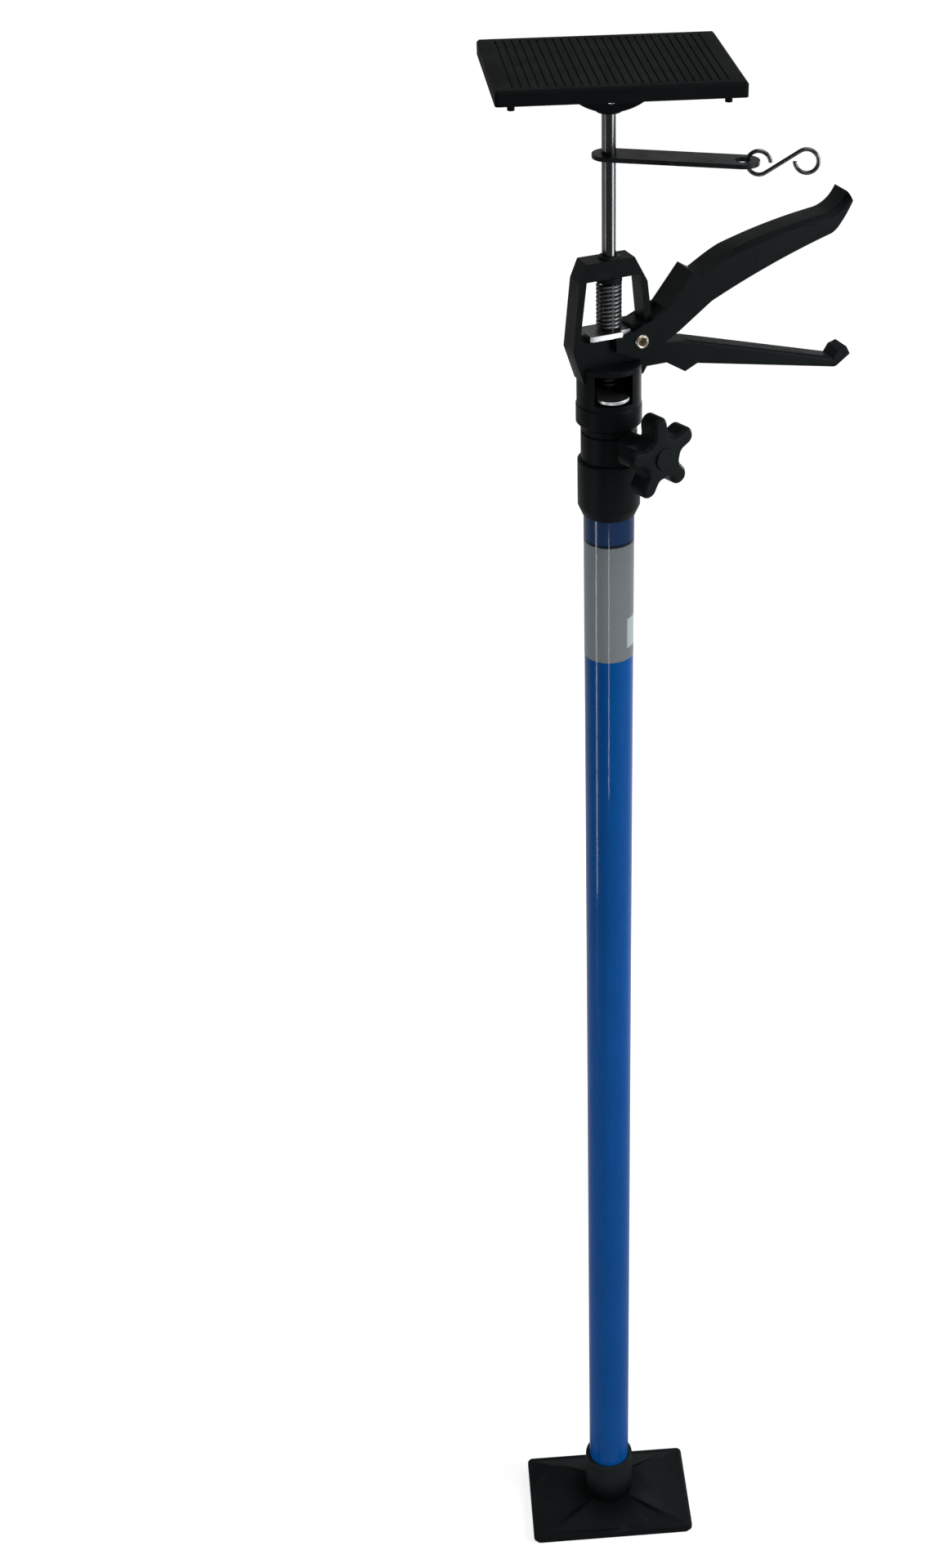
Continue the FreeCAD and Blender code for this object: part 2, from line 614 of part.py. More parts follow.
def make_yoke(body, barrel_radius):
    lower = deck - S.leg_foot_drop
    base = deck + S.leg_low_rise
    lug_left = S.pivot_out - S.lug_left
    lug_right = S.pivot_out + S.lug_right
    lug_top = pivot_height + S.lug_top
    inside = S.leg_top_half - S.leg_thick
    frame = new_sketch(body, "XZ")
    draw_outline(frame, [
        (-barrel_radius, lower), (barrel_radius, lower), (lug_right, deck), (lug_right, lug_top),
        (S.leg_top_half, window_top - S.leg_thick), (S.leg_top_half - S.bridge_slope, bridge_top),
        (-S.bridge_half, bridge_top), (-S.leg_top_half, window_top), (-S.leg_low_half, base)])
    draw_outline(frame, [
        (S.leg_thick - S.leg_low_half, deck + S.web_rise), (lug_left, deck + S.web_rise), (lug_left, lug_top),
        (lug_right - S.leg_thick, lug_top), (inside, window_top), (-inside, window_top)])
    pad(body, frame, S.frame_thick, symmetric=True)


def make_fixed_handle(body):
    def at(out, down):
        return S.pivot_out + out, pivot_height - down

    handle = new_sketch(body, "XZ")
    draw_outline(handle, [
        at(size(0), S.rest_root_down), at(size(0), S.spur_in_down), at(S.spur_in_out, S.spur_in_down),
        at(S.spur_out, S.spur_down), at(S.rest_low_out, S.rest_low_down), at(S.hook_chin_out, S.hook_chin_down),
        at(S.hook_nose_out, S.hook_nose_down), at(S.hook_tip_out, S.hook_tip_down),
        at(S.hook_in_out, S.hook_in_down), at(S.rest_end_out, S.rest_end_down),
        at(S.rest_top_out, S.rest_top_down), at(S.rest_root_out, S.rest_root_down)])
    pad(body, handle, S.frame_thick, symmetric=True)
    half = S.frame_thick.number / 2
    span = (S.rest_end_out - S.rest_low_out).number - 0.01

    def long_edge(edge):
        box = edge.BoundBox
        return box.XLength > span and box.YLength < 1e-4 and abs(abs(box.YMin) - half) < 1e-4

    soften(body, "Fillet", S.rest_round, long_edge)


def make_brake_housing(body):
    turn = S.brake_yaw - S.head_yaw
    ledge = new_sketch(body, "XZ", turn=turn)
    draw_rectangle(ledge, -S.fulcrum_half, cavity_floor, S.fulcrum_half, cavity_floor + S.fulcrum_rise)
    pad(body, ledge, S.cavity_dia / 2 + S.fulcrum_gap, downward=True)
    clear = new_sketch(body, "XZ", turn=turn)
    draw_rectangle(clear, -S.cavity_dia / 2, cavity_floor, S.cavity_dia / 2, cavity_floor + S.fulcrum_rise)
    pocket(body, clear, fulcrum_front)
    window = new_sketch(body, "XZ", turn=turn)
    draw_rectangle(window, -S.brake_window_half, cavity_floor, S.brake_window_half, cavity_top)
    pocket(body, window, S.body_dia, flip=True)


def make_body_rivet():
    body = new_body("body_rivet", S.head_yaw)
    end = new_sketch(body, "XZ", -S.lip_dia / 2)
    draw_circle(end, 0, head_bottom + S.rivet_drop, S.rivet_dia / 2)
    pad(body, end, S.lip_dia / 2 - inner_bore)


def make_rod_guide():
    body = new_body("rod_guide", S.head_yaw)
    shape = new_sketch(body, "XZ")
    inside = rod_radius + S.run_gap
    draw_outline(shape, [
        (inside, seat_low), (S.guide_dia / 2, seat_low), (S.guide_dia / 2, bridge_top),
        (S.guide_flange_dia / 2, bridge_top), (S.guide_flange_dia / 2, bridge_top + S.guide_flange / 2),
        (S.guide_flange_dia / 2 - S.edge_break, bridge_top + S.guide_flange),
        (inside, bridge_top + S.guide_flange)])
    revolve(body, shape)


def make_pivot_pin():
    body = new_body("pivot_pin", S.head_yaw)
    outer = S.trigger_thick / 2 + S.cheek_gap
    shank = new_sketch(body, "XZ", -outer)
    draw_circle(shank, S.pivot_out, pivot_height, S.pivot_dia / 2)
    pad(body, shank, outer * 2)
    for start in (-outer, outer + S.pivot_head):
        head = new_sketch(body, "XZ", start)
        draw_circle(head, S.pivot_out, pivot_height, S.pivot_head_dia / 2)
        pad(body, head, S.pivot_head, downward=True)


# Trigger: the moving upper handle, with two cheeks beside the frame and toes under the drive plate.
def make_trigger():
    body = new_body("trigger", S.head_yaw)

    def at(out, up):
        return S.pivot_out + out, pivot_height + up

    toe_top = plate_low - pivot_height - S.toe_gap
    low = toe_top - S.toe_deep
    radius = S.cheek_radius
    shape = new_sketch(body, "XZ")
    draw_outline(shape, [
        at(-S.toe_out, toe_top), at(-S.toe_out, low), at(-radius * 0.4, -radius * 0.9) + (radius * 0.1,),
        at(radius * 0.6, -radius * 0.8) + (radius * 0.05,), at(radius * 1.1, -radius * 0.5),
        at(S.crotch_out, S.crotch_up), at(S.throat_out, S.throat_up) + (-S.belly_bulge,),
        at(S.chin_out, S.chin_up) + (S.chin_bulge,), at(S.nose_out, S.nose_up),
        at(S.tip_out, S.tip_up) + (-S.tip_bulge,), at(S.neck_out, S.neck_up) + (S.back_bulge,),
        at(S.knee_out, S.knee_up), at(S.saddle_out, S.saddle_up), at(S.shoulder_out, S.shoulder_up),
        at(S.notch_out, S.notch_up), at(S.plate_wide_end + S.toe_clear - S.pivot_out, toe_top)])
    pad(body, shape, S.trigger_thick, symmetric=True)
    half = S.trigger_thick.number / 2
    span = (S.neck_out - S.knee_out).number - 0.01
    start = (S.pivot_out + S.throat_out).number - 0.01

    def grip_edge(edge):
        box = edge.BoundBox
        on_side = box.YLength < 1e-4 and abs(abs(box.YMin) - half) < 1e-4
        return on_side and box.XLength > span and box.XMin > start

    soften(body, "Fillet", S.grip_round, grip_edge)
    rise = S.shoulder_up - S.notch_up
    run = S.shoulder_out - S.notch_out
    slant = root(rise * rise + run * run)
    wall_out = S.notch_out + S.slot_wall * rise / slant
    wall_up = S.notch_up - S.slot_wall * run / slant
    reach_up = wall_up + (S.slot_reach - wall_out) * rise / run
    clear = S.cheek_radius * 4
    slot = new_sketch(body, "XZ")
    draw_outline(slot, [
        at(-clear, -clear), at(S.slot_reach, -clear), at(S.slot_reach, reach_up), at(wall_out, wall_up),
        at(S.notch_out, S.notch_up), at(S.notch_out, clear), at(-clear, clear)])
    pocket(body, slot, cheek_inner * 2, symmetric=True)
    hole = new_sketch(body, "XZ")
    draw_circle(hole, S.pivot_out, pivot_height, S.pivot_dia / 2 + S.run_gap)
    pocket(body, hole, S.trigger_thick * 2, symmetric=True)


def make_drive_plate():
    body = new_body("drive_plate", S.head_yaw)
    shape = new_sketch(body, "XY", plate_low)
    bulge = S.plate_corner * (1 - math.sqrt(0.5))
    half, tongue = S.plate_half, S.plate_tongue_half
    draw_outline(shape, [
        (-S.plate_left + S.plate_corner, -half), (S.plate_wide_end, -half), (S.plate_wide_end, -tongue),
        (S.plate_tongue, -tongue), (S.plate_tongue, tongue), (S.plate_wide_end, tongue),
        (S.plate_wide_end, half), (-S.plate_left + S.plate_corner, half, bulge),
        (-S.plate_left, half - S.plate_corner), (-S.plate_left, -half + S.plate_corner, bulge)])
    draw_circle(shape, 0, 0, rod_hole)
    pad(body, shape, S.plate_thick)


# A coil spring as a chain of half turns, each revolved in its own slanted plane from a square wire.
def make_spring(label, low, high, outer_dia, wire_dia, turns, yaw):
    wire = wire_dia.number / 2
    radius = outer_dia.number / 2 - wire
    halves = round(turns.number) * 2
    start = low.number + wire
    step = (high.number - low.number - 2 * wire) / halves
    solids = []
    for half in range(halves):
        side = 1 if half % 2 == 0 else -1
        first = Vector(side * radius, 0, start + half * step)
        last = Vector(-side * radius, 0, first.z + step)
        axis = Vector(side * step / 2, 0, radius)
        angles = [math.radians(90 * corner) for corner in range(5)]
        ring = [first + Vector(math.cos(angle), 0, math.sin(angle)) * wire for angle in angles]
        face = Part.Face(Part.makePolygon(ring))
        solids.append(face.revolve((first + last) / 2, axis, 180))
    feature = doc.addObject("Part::Feature", label)
    feature.Shape = solids[0].fuse(solids[1:])
    place(feature, label, yaw)


def make_drive_spring():
    make_spring("drive_spring", plate_high + S.spring_gap, seat_low - S.spring_gap,
                S.spring_dia, S.spring_wire, S.spring_turns, S.head_yaw)


def make_brake_plate():
    body = new_body("brake_plate")
    shape = new_sketch(body, "XY")
    half, back = S.brake_half, S.brake_back_half
    draw_outline(shape, [
        (-half, -S.brake_shoulder, S.brake_front - S.brake_shoulder), (half, -S.brake_shoulder),
        (half, S.brake_waist), (back, S.brake_back), (-back, S.brake_back), (-half, S.brake_waist)])
    draw_circle(shape, 0, 0, rod_radius + S.brake_hole_gap)
    pad(body, shape, S.brake_thick)
    yaw = FreeCAD.Rotation(Vector(0, 0, 1), S.brake_yaw.number)
    tilt = FreeCAD.Rotation(Vector(1, 0, 0), S.brake_tilt.number)
    back_edge = Vector(0, S.brake_back.number, 0)
    lean = FreeCAD.Placement(Vector(0, 0, brake_height.number), yaw)
    swing = FreeCAD.Placement(Vector(0, 0, 0), tilt, back_edge)
    body.Placement = lean.multiply(swing)


def make_brake_spring():
    rise = (S.brake_back - S.brake_spring_dia / 2) * brake_drop
    low = brake_height + S.brake_thick + S.brake_spring_lift - rise
    make_spring("brake_spring", low, cavity_top - S.spring_gap,
                S.brake_spring_dia, S.brake_spring_wire, S.brake_spring_turns, S.head_yaw)


def make_lift_rod():
    body = new_body("lift_rod")
    slot_low = rod_low + S.clip_end
    slot_high = slot_low + S.clip_thick + S.run_gap * 2
    slim = rod_radius - S.clip_seat
    groove_half = S.keeper_dia / 2 + S.keeper_gap
    groove_low = keeper_height - groove_half
    groove_high = keeper_height + groove_half
    groove = rod_radius - S.keeper_seat
    shape = new_sketch(body, "XZ")
    draw_outline(shape, [
        (0, rod_low), (rod_radius - S.rod_chamfer, rod_low), (rod_radius, rod_low + S.rod_chamfer),
        (rod_radius, slot_low), (slim, slot_low), (slim, slot_high), (rod_radius, slot_high),
        (rod_radius, groove_low), (groove, groove_low), (groove, groove_high), (rod_radius, groove_high),
        (rod_radius, rod_top - S.rod_chamfer), (rod_radius - S.rod_chamfer, rod_top), (0, rod_top)])
    revolve(body, shape)


def make_rod_clip():
    body = new_body("rod_clip")
    ring = new_sketch(body, "XY", rod_low + S.clip_end + S.run_gap)
    draw_circle(ring, 0, 0, S.clip_dia / 2)
    draw_circle(ring, 0, 0, rod_radius - S.clip_seat)
    pad(body, ring, S.clip_thick)
    mouth = new_sketch(body, "XY", rod_low + S.clip_end)
    draw_rectangle(mouth, -S.clip_mouth / 2, 0, S.clip_mouth / 2, S.clip_dia)
    pocket(body, mouth, S.clip_thick * 2, flip=True)


# Top: hub on the rod, tilting plate with two ears, and a ribbed rubber pad.
def make_swivel_hub():
    body = new_body("swivel_hub", S.top_yaw)
    low = rod_top - S.hub_grip
    barrel = new_sketch(body, "XY", low)
    draw_circle(barrel, 0, 0, S.hub_dia / 2)
    pad(body, barrel, S.hub_grip + S.hub_web)
    eye = new_sketch(body, "XZ")
    half = S.hub_eye / 2
    draw_outline(eye, [(-half, rod_top), (half, rod_top), (half, tilt_height, half), (-half, tilt_height)])
    pad(body, eye, S.hub_thick, symmetric=True)
    bore = new_sketch(body, "XY", low)
    draw_circle(bore, 0, 0, rod_radius + S.run_gap)
    pocket(body, bore, S.hub_grip + S.run_gap * 2, flip=True)
    hole = new_sketch(body, "XZ")
    draw_circle(hole, 0, tilt_height, S.tilt_pin_dia / 2 + S.run_gap)
    pocket(body, hole, S.hub_thick * 2, symmetric=True)
    keeper = new_sketch(body, "YZ")
    draw_circle(keeper, 0, keeper_height, S.keeper_dia / 2)
    pocket(body, keeper, S.hub_dia, flip=True)


# A small pin that holds the hub on the rod and runs in the rod's groove.
def make_hub_keeper():
    body = new_body("hub_keeper", S.top_yaw)
    start = rod_radius - S.keeper_seat + S.keeper_gap
    end = new_sketch(body, "YZ", start)
    draw_circle(end, 0, keeper_height, S.keeper_dia / 2)
    pad(body, end, S.hub_dia / 2 - start - S.keeper_gap)


ear_inner = S.hub_thick / 2 + S.ear_gap
ear_outer = ear_inner + S.ear_thick
plug_x = S.pad_length / 2 - S.plug_inset
plug_y = S.pad_width / 2 - S.plug_inset


def draw_plugs(drawing, diameter):
    for x in (-plug_x, plug_x):
        for y in (-plug_y, plug_y):
            draw_circle(drawing, x, y, diameter / 2)


def make_top_plate():
    body = new_body("top_plate", S.top_yaw)
    face = new_sketch(body, "XY", top_low)
    draw_rounded(face, S.pad_length - S.plate_inset * 2, S.pad_width - S.plate_inset * 2, S.top_corner)
    draw_plugs(face, S.plug_dia)
    pad(body, face, S.top_thick)
    for start in (ear_outer, -ear_inner):
        ear = new_sketch(body, "XZ", start)
        draw_outline(ear, [
            (-S.ear_half, top_low + S.top_thick / 2), (-S.ear_half, top_low, S.ear_deep),
            (S.ear_half, top_low), (S.ear_half, top_low + S.top_thick / 2)])
        pad(body, ear, S.ear_thick, downward=True)
    hole = new_sketch(body, "XZ")
    draw_circle(hole, 0, tilt_height, S.tilt_pin_dia / 2)
    pocket(body, hole, ear_outer * 4, symmetric=True)


def make_tilt_pin():
    body = new_body("tilt_pin", S.top_yaw)
    shank = new_sketch(body, "XZ", -ear_outer)
    draw_circle(shank, 0, tilt_height, S.tilt_pin_dia / 2)
    pad(body, shank, ear_outer * 2)
    for start in (-ear_outer, ear_outer + S.tilt_head):
        head = new_sketch(body, "XZ", start)
        draw_circle(head, 0, tilt_height, S.tilt_head_dia / 2)
        pad(body, head, S.tilt_head, downward=True)


def make_top_pad():
    body = new_body("top_pad", S.top_yaw)
    face = new_sketch(body, "XY", top_low)
    draw_rounded(face, S.pad_length, S.pad_width, S.pad_corner)
    pad(body, face, S.pad_height)
    pad_high = top_low + S.pad_height
    soften(body, "Chamfer", S.pad_bevel, lambda edge: flat_at(edge, pad_high))
    first = -(S.rib_count - 1) * S.rib_pitch / 2
    reach = S.pad_width / 2 - S.rib_border
    gap = new_sketch(body, "XY", pad_high)
    draw_rectangle(gap, first - S.rib_gap / 2, -reach, first + S.rib_gap / 2, reach)
    cut = pocket(body, gap, S.rib_depth)
    repeat(body, "LinearPattern", cut, Direction=(datum(body, "X_Axis"), [""]),
           Length=(S.rib_count - 1) * S.rib_pitch, Occurrences=S.rib_count)
    inset = (S.plate_inset - S.recess_gap) * 2
    recess = new_sketch(body, "XY", top_low)
    draw_rounded(recess, S.pad_length - inset, S.pad_width - inset, S.top_corner + S.recess_gap)
    pocket(body, recess, S.top_thick, flip=True)
    stems = new_sketch(body, "XY", recess_top)
    draw_plugs(stems, S.plug_dia)
    pad(body, stems, S.top_thick + S.plug_length, downward=True)
    bulbs = new_sketch(body, "XY", top_low)
    draw_plugs(bulbs, S.plug_bulb_dia)
    pad(body, bulbs, S.plug_bulb, downward=True)


def make_hanger_bar():
    body = new_body("hanger_bar", S.bar_yaw)
    half = S.bar_width / 2
    shape = new_sketch(body, "XY", bar_height - S.bar_thick / 2)
    draw_outline(shape, [(0, -half), (S.bar_hole_out, -half, half), (S.bar_hole_out, half), (0, half, half)])
    draw_circle(shape, 0, 0, rod_radius)
    draw_circle(shape, S.bar_hole_out, 0, S.bar_hole_dia / 2)
    pad(body, shape, S.bar_thick)


# S-hook: two open loops joined by the slanted line that touches both.
def make_s_hook():
    body = new_body("s_hook", S.bar_yaw)
    near = S.bar_hole_out + S.hook_shift + S.hook_radius
    far = near + S.hook_span
    lean = S.hook_radius * 2 / S.hook_span
    fall = root(1 - lean * lean)
    level = bar_height
    radius = S.hook_radius
    bend = radius * (1 - root((1 - lean) / 2))
    path = new_sketch(body, "XZ")
    draw_outline(path, [
        (near + radius, level, radius), (near - radius, level, bend),
        (near + radius * lean, level - radius * fall),
        (far - radius * lean, level + radius * fall, -bend), (far + radius, level, -radius),
        (far - radius, level)], closed=False)
    wire = new_sketch(body, "XY", level)
    draw_octagon(wire, near + radius, S.hook_wire)
    doc.recompute()
    pipe = add_feature(body, "AdditivePipe", wire)
    pipe.Spine = (path, [f"Edge{step}" for step in range(1, 6)])
    body.Tip = pipe
    tilt = FreeCAD.Rotation(Vector(0, -1, 0), S.hook_tilt.number)
    swing = FreeCAD.Placement(Vector(0, 0, 0), tilt, Vector(near.number, 0, level.number))
    body.Placement = body.Placement.multiply(swing)


make_foot_plate()
make_foot_sole()
make_outer_tube()
make_clamp_collar()
make_clamp_insert()
make_clamp_pad()
make_clamp_stud()
make_clamp_knob()
make_inner_tube()
make_guide_bush()
make_pump_body()
make_body_rivet()
make_rod_guide()
make_pivot_pin()
make_trigger()
make_drive_plate()
make_drive_spring()
make_brake_plate()
make_brake_spring()
make_lift_rod()
make_rod_clip()
make_swivel_hub()
make_hub_keeper()
make_top_plate()
make_tilt_pin()
make_top_pad()
make_hanger_bar()
make_s_hook()
doc.recompute()

faults = [item.Label for item in doc.Objects if {"Invalid", "Error"} & set(item.State)]
faults += [part.Label for part in parts if part.Shape.isNull() or not part.Shape.isValid()]
if faults:
    raise RuntimeError("failed objects: " + ", ".join(faults))

os.makedirs("parts", exist_ok=True)
for part in parts:
    part.Shape.exportStep(f"parts/{part.Label}.step")
    print(f"{part.Label}: {len(part.Shape.Solids)} solid, {part.Shape.Volume / 1000:.2f} cm3")
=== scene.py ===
import json
import math
import bmesh
import bpy
from mathutils import Matrix, Vector


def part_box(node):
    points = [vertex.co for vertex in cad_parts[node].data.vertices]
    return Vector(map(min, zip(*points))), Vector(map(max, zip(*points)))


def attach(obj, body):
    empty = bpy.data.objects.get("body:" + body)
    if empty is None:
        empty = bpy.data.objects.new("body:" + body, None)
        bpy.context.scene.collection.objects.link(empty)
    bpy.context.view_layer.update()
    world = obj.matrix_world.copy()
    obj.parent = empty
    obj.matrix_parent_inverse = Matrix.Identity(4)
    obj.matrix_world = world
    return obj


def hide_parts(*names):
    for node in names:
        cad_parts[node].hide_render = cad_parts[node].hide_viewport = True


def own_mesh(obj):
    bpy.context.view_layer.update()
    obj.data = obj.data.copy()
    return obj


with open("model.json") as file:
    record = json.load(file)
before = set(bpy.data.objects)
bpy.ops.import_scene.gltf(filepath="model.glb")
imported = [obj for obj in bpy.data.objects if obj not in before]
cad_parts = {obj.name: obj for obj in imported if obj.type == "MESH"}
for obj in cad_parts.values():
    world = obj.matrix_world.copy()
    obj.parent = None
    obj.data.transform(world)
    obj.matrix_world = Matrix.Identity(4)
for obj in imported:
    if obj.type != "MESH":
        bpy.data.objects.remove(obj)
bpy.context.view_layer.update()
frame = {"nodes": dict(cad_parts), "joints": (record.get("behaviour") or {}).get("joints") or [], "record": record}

record = frame["record"]
bodyOf = {node: body for body, nodes in record["behaviour"]["bodies"].items() for node in nodes}
slotOf = {part["node"]: part["material_slot"] for part in record["subparts"]}
joints = {joint["name"]: joint for joint in frame["joints"]}
collection = bpy.context.scene.collection
mm = 0.001
print("frame loaded")


# Node helpers
def putNode(tree, kind, links=None, **settings):
    node = tree.nodes.new("ShaderNode" + kind)
    for name, value in settings.items():
        setattr(node, name, value)
    for name, value in (links or {}).items():
        socket = node.inputs[name]
        if isinstance(value, bpy.types.NodeSocket):
            tree.links.new(value, socket)
        else:
            socket.default_value = value
    return node


def putMath(tree, operation, *values):
    return putNode(tree, "Math", dict(enumerate(values)), operation=operation).outputs[0]


def putMix(tree, amount, low, high, blend="MIX"):
    node = putNode(tree, "Mix", {0: amount, 6: low, 7: high}, data_type="RGBA", blend_type=blend)
    return node.outputs[2]


def putRange(tree, value, low, high, start=0.0, end=1.0):
    links = {"Value": value, "From Min": low, "From Max": high, "To Min": start, "To Max": end}
    return putNode(tree, "MapRange", links, interpolation_type="SMOOTHSTEP").outputs["Result"]


def putBand(tree, value, low, high, soft):
    rising = putRange(tree, value, low - soft, low + soft)
    falling = putRange(tree, value, high - soft, high + soft, 1.0, 0.0)
    return putMath(tree, "MULTIPLY", rising, falling)


def newGroup(name, inputs, outputs):
    group = bpy.data.node_groups.new(name, "ShaderNodeTree")
    for label, kind in inputs.items():
        group.interface.new_socket(name=label, in_out="INPUT", socket_type="NodeSocket" + kind)
    for label, kind in outputs.items():
        group.interface.new_socket(name=label, in_out="OUTPUT", socket_type="NodeSocket" + kind)
    return group, group.nodes.new("NodeGroupInput").outputs, group.nodes.new("NodeGroupOutput").inputs


# Shared effects
grainMix = {"low": 0.3, "high": 0.7, "blotchShare": 0.6, "blotchDetail": 4.0, "grainDetail": 3.0,
            "bump": 0.0004}


def makeGrainGroup():
    group, given, result = newGroup(
        "surfaceGrain",
        {"Point": "Vector", "Base": "Color", "Shade": "Color", "Blotch": "Float", "Grain": "Vector",
         "Smooth": "Float", "Rough": "Float", "Depth": "Float"},
        {"Color": "Color", "Roughness": "Float", "Normal": "Vector"})
    low, high, share = grainMix["low"], grainMix["high"], grainMix["blotchShare"]
    blotch = putNode(group, "TexNoise", {
        "Vector": given["Point"], "Scale": given["Blotch"], "Detail": grainMix["blotchDetail"]})
    fine = putNode(group, "VectorMath", {0: given["Point"], 1: given["Grain"]}, operation="MULTIPLY")
    grain = putNode(group, "TexNoise", {
        "Vector": fine.outputs[0], "Scale": 1.0, "Detail": grainMix["grainDetail"]})
    blotchy = putRange(group, blotch.outputs["Fac"], low, high)
    grainy = putRange(group, grain.outputs["Fac"], low, high)
    both = putMath(group, "MULTIPLY_ADD", blotchy, share, putMath(group, "MULTIPLY", grainy, 1.0 - share))
    links = {"Value": both, "To Min": given["Smooth"], "To Max": given["Rough"]}
    bump = putNode(group, "Bump", {
        "Strength": given["Depth"], "Distance": grainMix["bump"], "Height": grainy})
    group.links.new(putMix(group, both, given["Base"], given["Shade"]), result["Color"])
    group.links.new(putNode(group, "MapRange", links).outputs["Result"], result["Roughness"])
    group.links.new(bump.outputs["Normal"], result["Normal"])
    return group


scuffMix = {"lines": (0.6, 0.74), "lineDetail": 5.0, "lineBend": 0.4, "patches": (0.45, 0.65),
            "patchScale": 22.0, "patchDetail": 2.0}


def makeScuffGroup():
    group, given, result = newGroup(
        "scuffMarks", {"Point": "Vector", "Stretch": "Vector", "Amount": "Float"}, {"Mask": "Float"})
    drawn = putNode(group, "VectorMath", {0: given["Point"], 1: given["Stretch"]}, operation="MULTIPLY")
    lines = putNode(group, "TexNoise", {
        "Vector": drawn.outputs[0], "Scale": 1.0, "Detail": scuffMix["lineDetail"],
        "Distortion": scuffMix["lineBend"]})
    patches = putNode(group, "TexNoise", {
        "Vector": given["Point"], "Scale": scuffMix["patchScale"], "Detail": scuffMix["patchDetail"]})
    mask = putMath(group, "MULTIPLY", putRange(group, lines.outputs["Fac"], *scuffMix["lines"]),
                   putRange(group, patches.outputs["Fac"], *scuffMix["patches"]))
    group.links.new(putMath(group, "MULTIPLY", mask, given["Amount"]), result["Mask"])
    return group


# Mask of a painted highlight: how far a face turns towards one fixed direction, made uneven by spots.
edgeHighlightMix = {"spotScale": 160.0, "spotDetail": 3.0, "spotShare": 0.3, "bright": (0.72, 0.9)}


def makeEdgeHighlightGroup():
    group, given, result = newGroup(
        "paintedEdgeHighlight", {"Normal": "Vector", "Facing": "Vector", "Point": "Vector"}, {"Mask": "Float"})
    toward = putNode(group, "VectorMath", {0: given["Normal"], 1: given["Facing"]}, operation="DOT_PRODUCT")
    spots = putNode(group, "TexNoise", {
        "Vector": given["Point"], "Scale": edgeHighlightMix["spotScale"], "Detail": edgeHighlightMix["spotDetail"]})
    uneven = putMath(group, "MULTIPLY_ADD", spots.outputs["Fac"], edgeHighlightMix["spotShare"],
                     toward.outputs["Value"])
    group.links.new(putRange(group, uneven, *edgeHighlightMix["bright"]), result["Mask"])
    return group


grainGroup = makeGrainGroup()
scuffGroup = makeScuffGroup()
edgeHighlightGroup = makeEdgeHighlightGroup()


def putGroup(tree, group, links):
    node = putNode(tree, "Group", node_tree=group)
    for name, value in links.items():
        if isinstance(value, bpy.types.NodeSocket):
            tree.links.new(value, node.inputs[name])
        else:
            node.inputs[name].default_value = value
    return node.outputs


# A material from one dictionary of values; tint may change the colour and shine before they reach the shader.
def makeMaterial(name, values, tint=None):
    material = bpy.data.materials.new(name)
    material.use_nodes = True
    tree = material.node_tree
    tree.nodes.clear()
    coords = putNode(tree, "TexCoord").outputs
    grain = putGroup(tree, grainGroup, {
        "Point": coords["Object"], "Base": values["base"] + (1,), "Shade": values["shade"] + (1,),
        "Blotch": values["blotch"], "Grain": values["grain"], "Smooth": values["rough"][0],
        "Rough": values["rough"][1], "Depth": values["depth"]})
    scuff = putGroup(tree, scuffGroup, {
        "Point": coords["Object"], "Stretch": values["scuffStretch"], "Amount": values["scuff"]})["Mask"]
    color = putMix(tree, scuff, grain["Color"], values["scuffColor"] + (1,))
    shine = values.get("specular", 0.5)
    if tint:
        color, shine = tint(tree, coords, color, shine)
    shader = putNode(tree, "BsdfPrincipled", {
        "Base Color": color, "Roughness": grain["Roughness"], "Normal": grain["Normal"],
        "Metallic": values.get("metal", 0.0), "Specular IOR Level": shine,
        "Specular Tint": values.get("gloss", (1.0, 1.0, 1.0)) + (1,),
        "Coat Weight": values.get("coat", 0.0), "Coat Roughness": values.get("coatRough", 0.05)})
    output = putNode(tree, "OutputMaterial", {"Surface": shader.outputs[0]})
    tree.nodes.active = output
    return material


plasticValues = {
    "base": (0.0028, 0.0038, 0.0042), "shade": (0.0053, 0.0067, 0.0072), "blotch": 45.0,
    "grain": (1500, 1500, 1500), "rough": (0.40, 0.54), "depth": 0.12, "specular": 0.045, "scuff": 0.3,
    "scuffStretch": (90, 90, 420), "scuffColor": (0.022, 0.025, 0.026), "gloss": (0.78, 0.95, 1.0)}
rubberValues = {
    "base": (0.0032, 0.0042, 0.0046), "shade": (0.0056, 0.0070, 0.0074), "blotch": 60.0,
    "grain": (2200, 2200, 2200), "rough": (0.62, 0.8), "depth": 0.2, "specular": 0.03, "scuff": 0.25,
    "scuffStretch": (300, 120, 300), "scuffColor": (0.018, 0.020, 0.020)}
paintValues = {
    "base": (0.0004, 0.0640, 0.2600), "shade": (0.0005, 0.0530, 0.2180), "blotch": 14.0,
    "grain": (700, 700, 60), "rough": (0.28, 0.36), "depth": 0.05, "specular": 0.04, "coat": 0.20,
    "coatRough": 0.06, "scuff": 0.12, "scuffStretch": (260, 260, 30), "scuffColor": (0.02, 0.09, 0.26),
    "gloss": (0.3, 0.7, 1.0)}
zincValues = {
    "base": (0.50, 0.51, 0.53), "shade": (0.40, 0.41, 0.43), "blotch": 30.0, "grain": (900, 900, 40),
    "rough": (0.28, 0.4), "depth": 0.06, "metal": 1.0, "scuff": 0.3, "scuffStretch": (500, 500, 40),
    "scuffColor": (0.30, 0.30, 0.31)}
steelValues = {
    "base": (0.52, 0.525, 0.54), "shade": (0.40, 0.405, 0.42), "blotch": 50.0, "grain": (1600, 1600, 60),
    "rough": (0.18, 0.28), "depth": 0.04, "metal": 1.0, "scuff": 0.25, "scuffStretch": (700, 700, 60),
    "scuffColor": (0.26, 0.26, 0.27)}
# Bright steel colour of the painted edge highlight on the plates.
plateHighlightValues = dict(
    steelValues, base=(0.74, 0.76, 0.78), shade=(0.60, 0.62, 0.64), rough=(0.34, 0.46), metal=0.55, scuff=0.1)
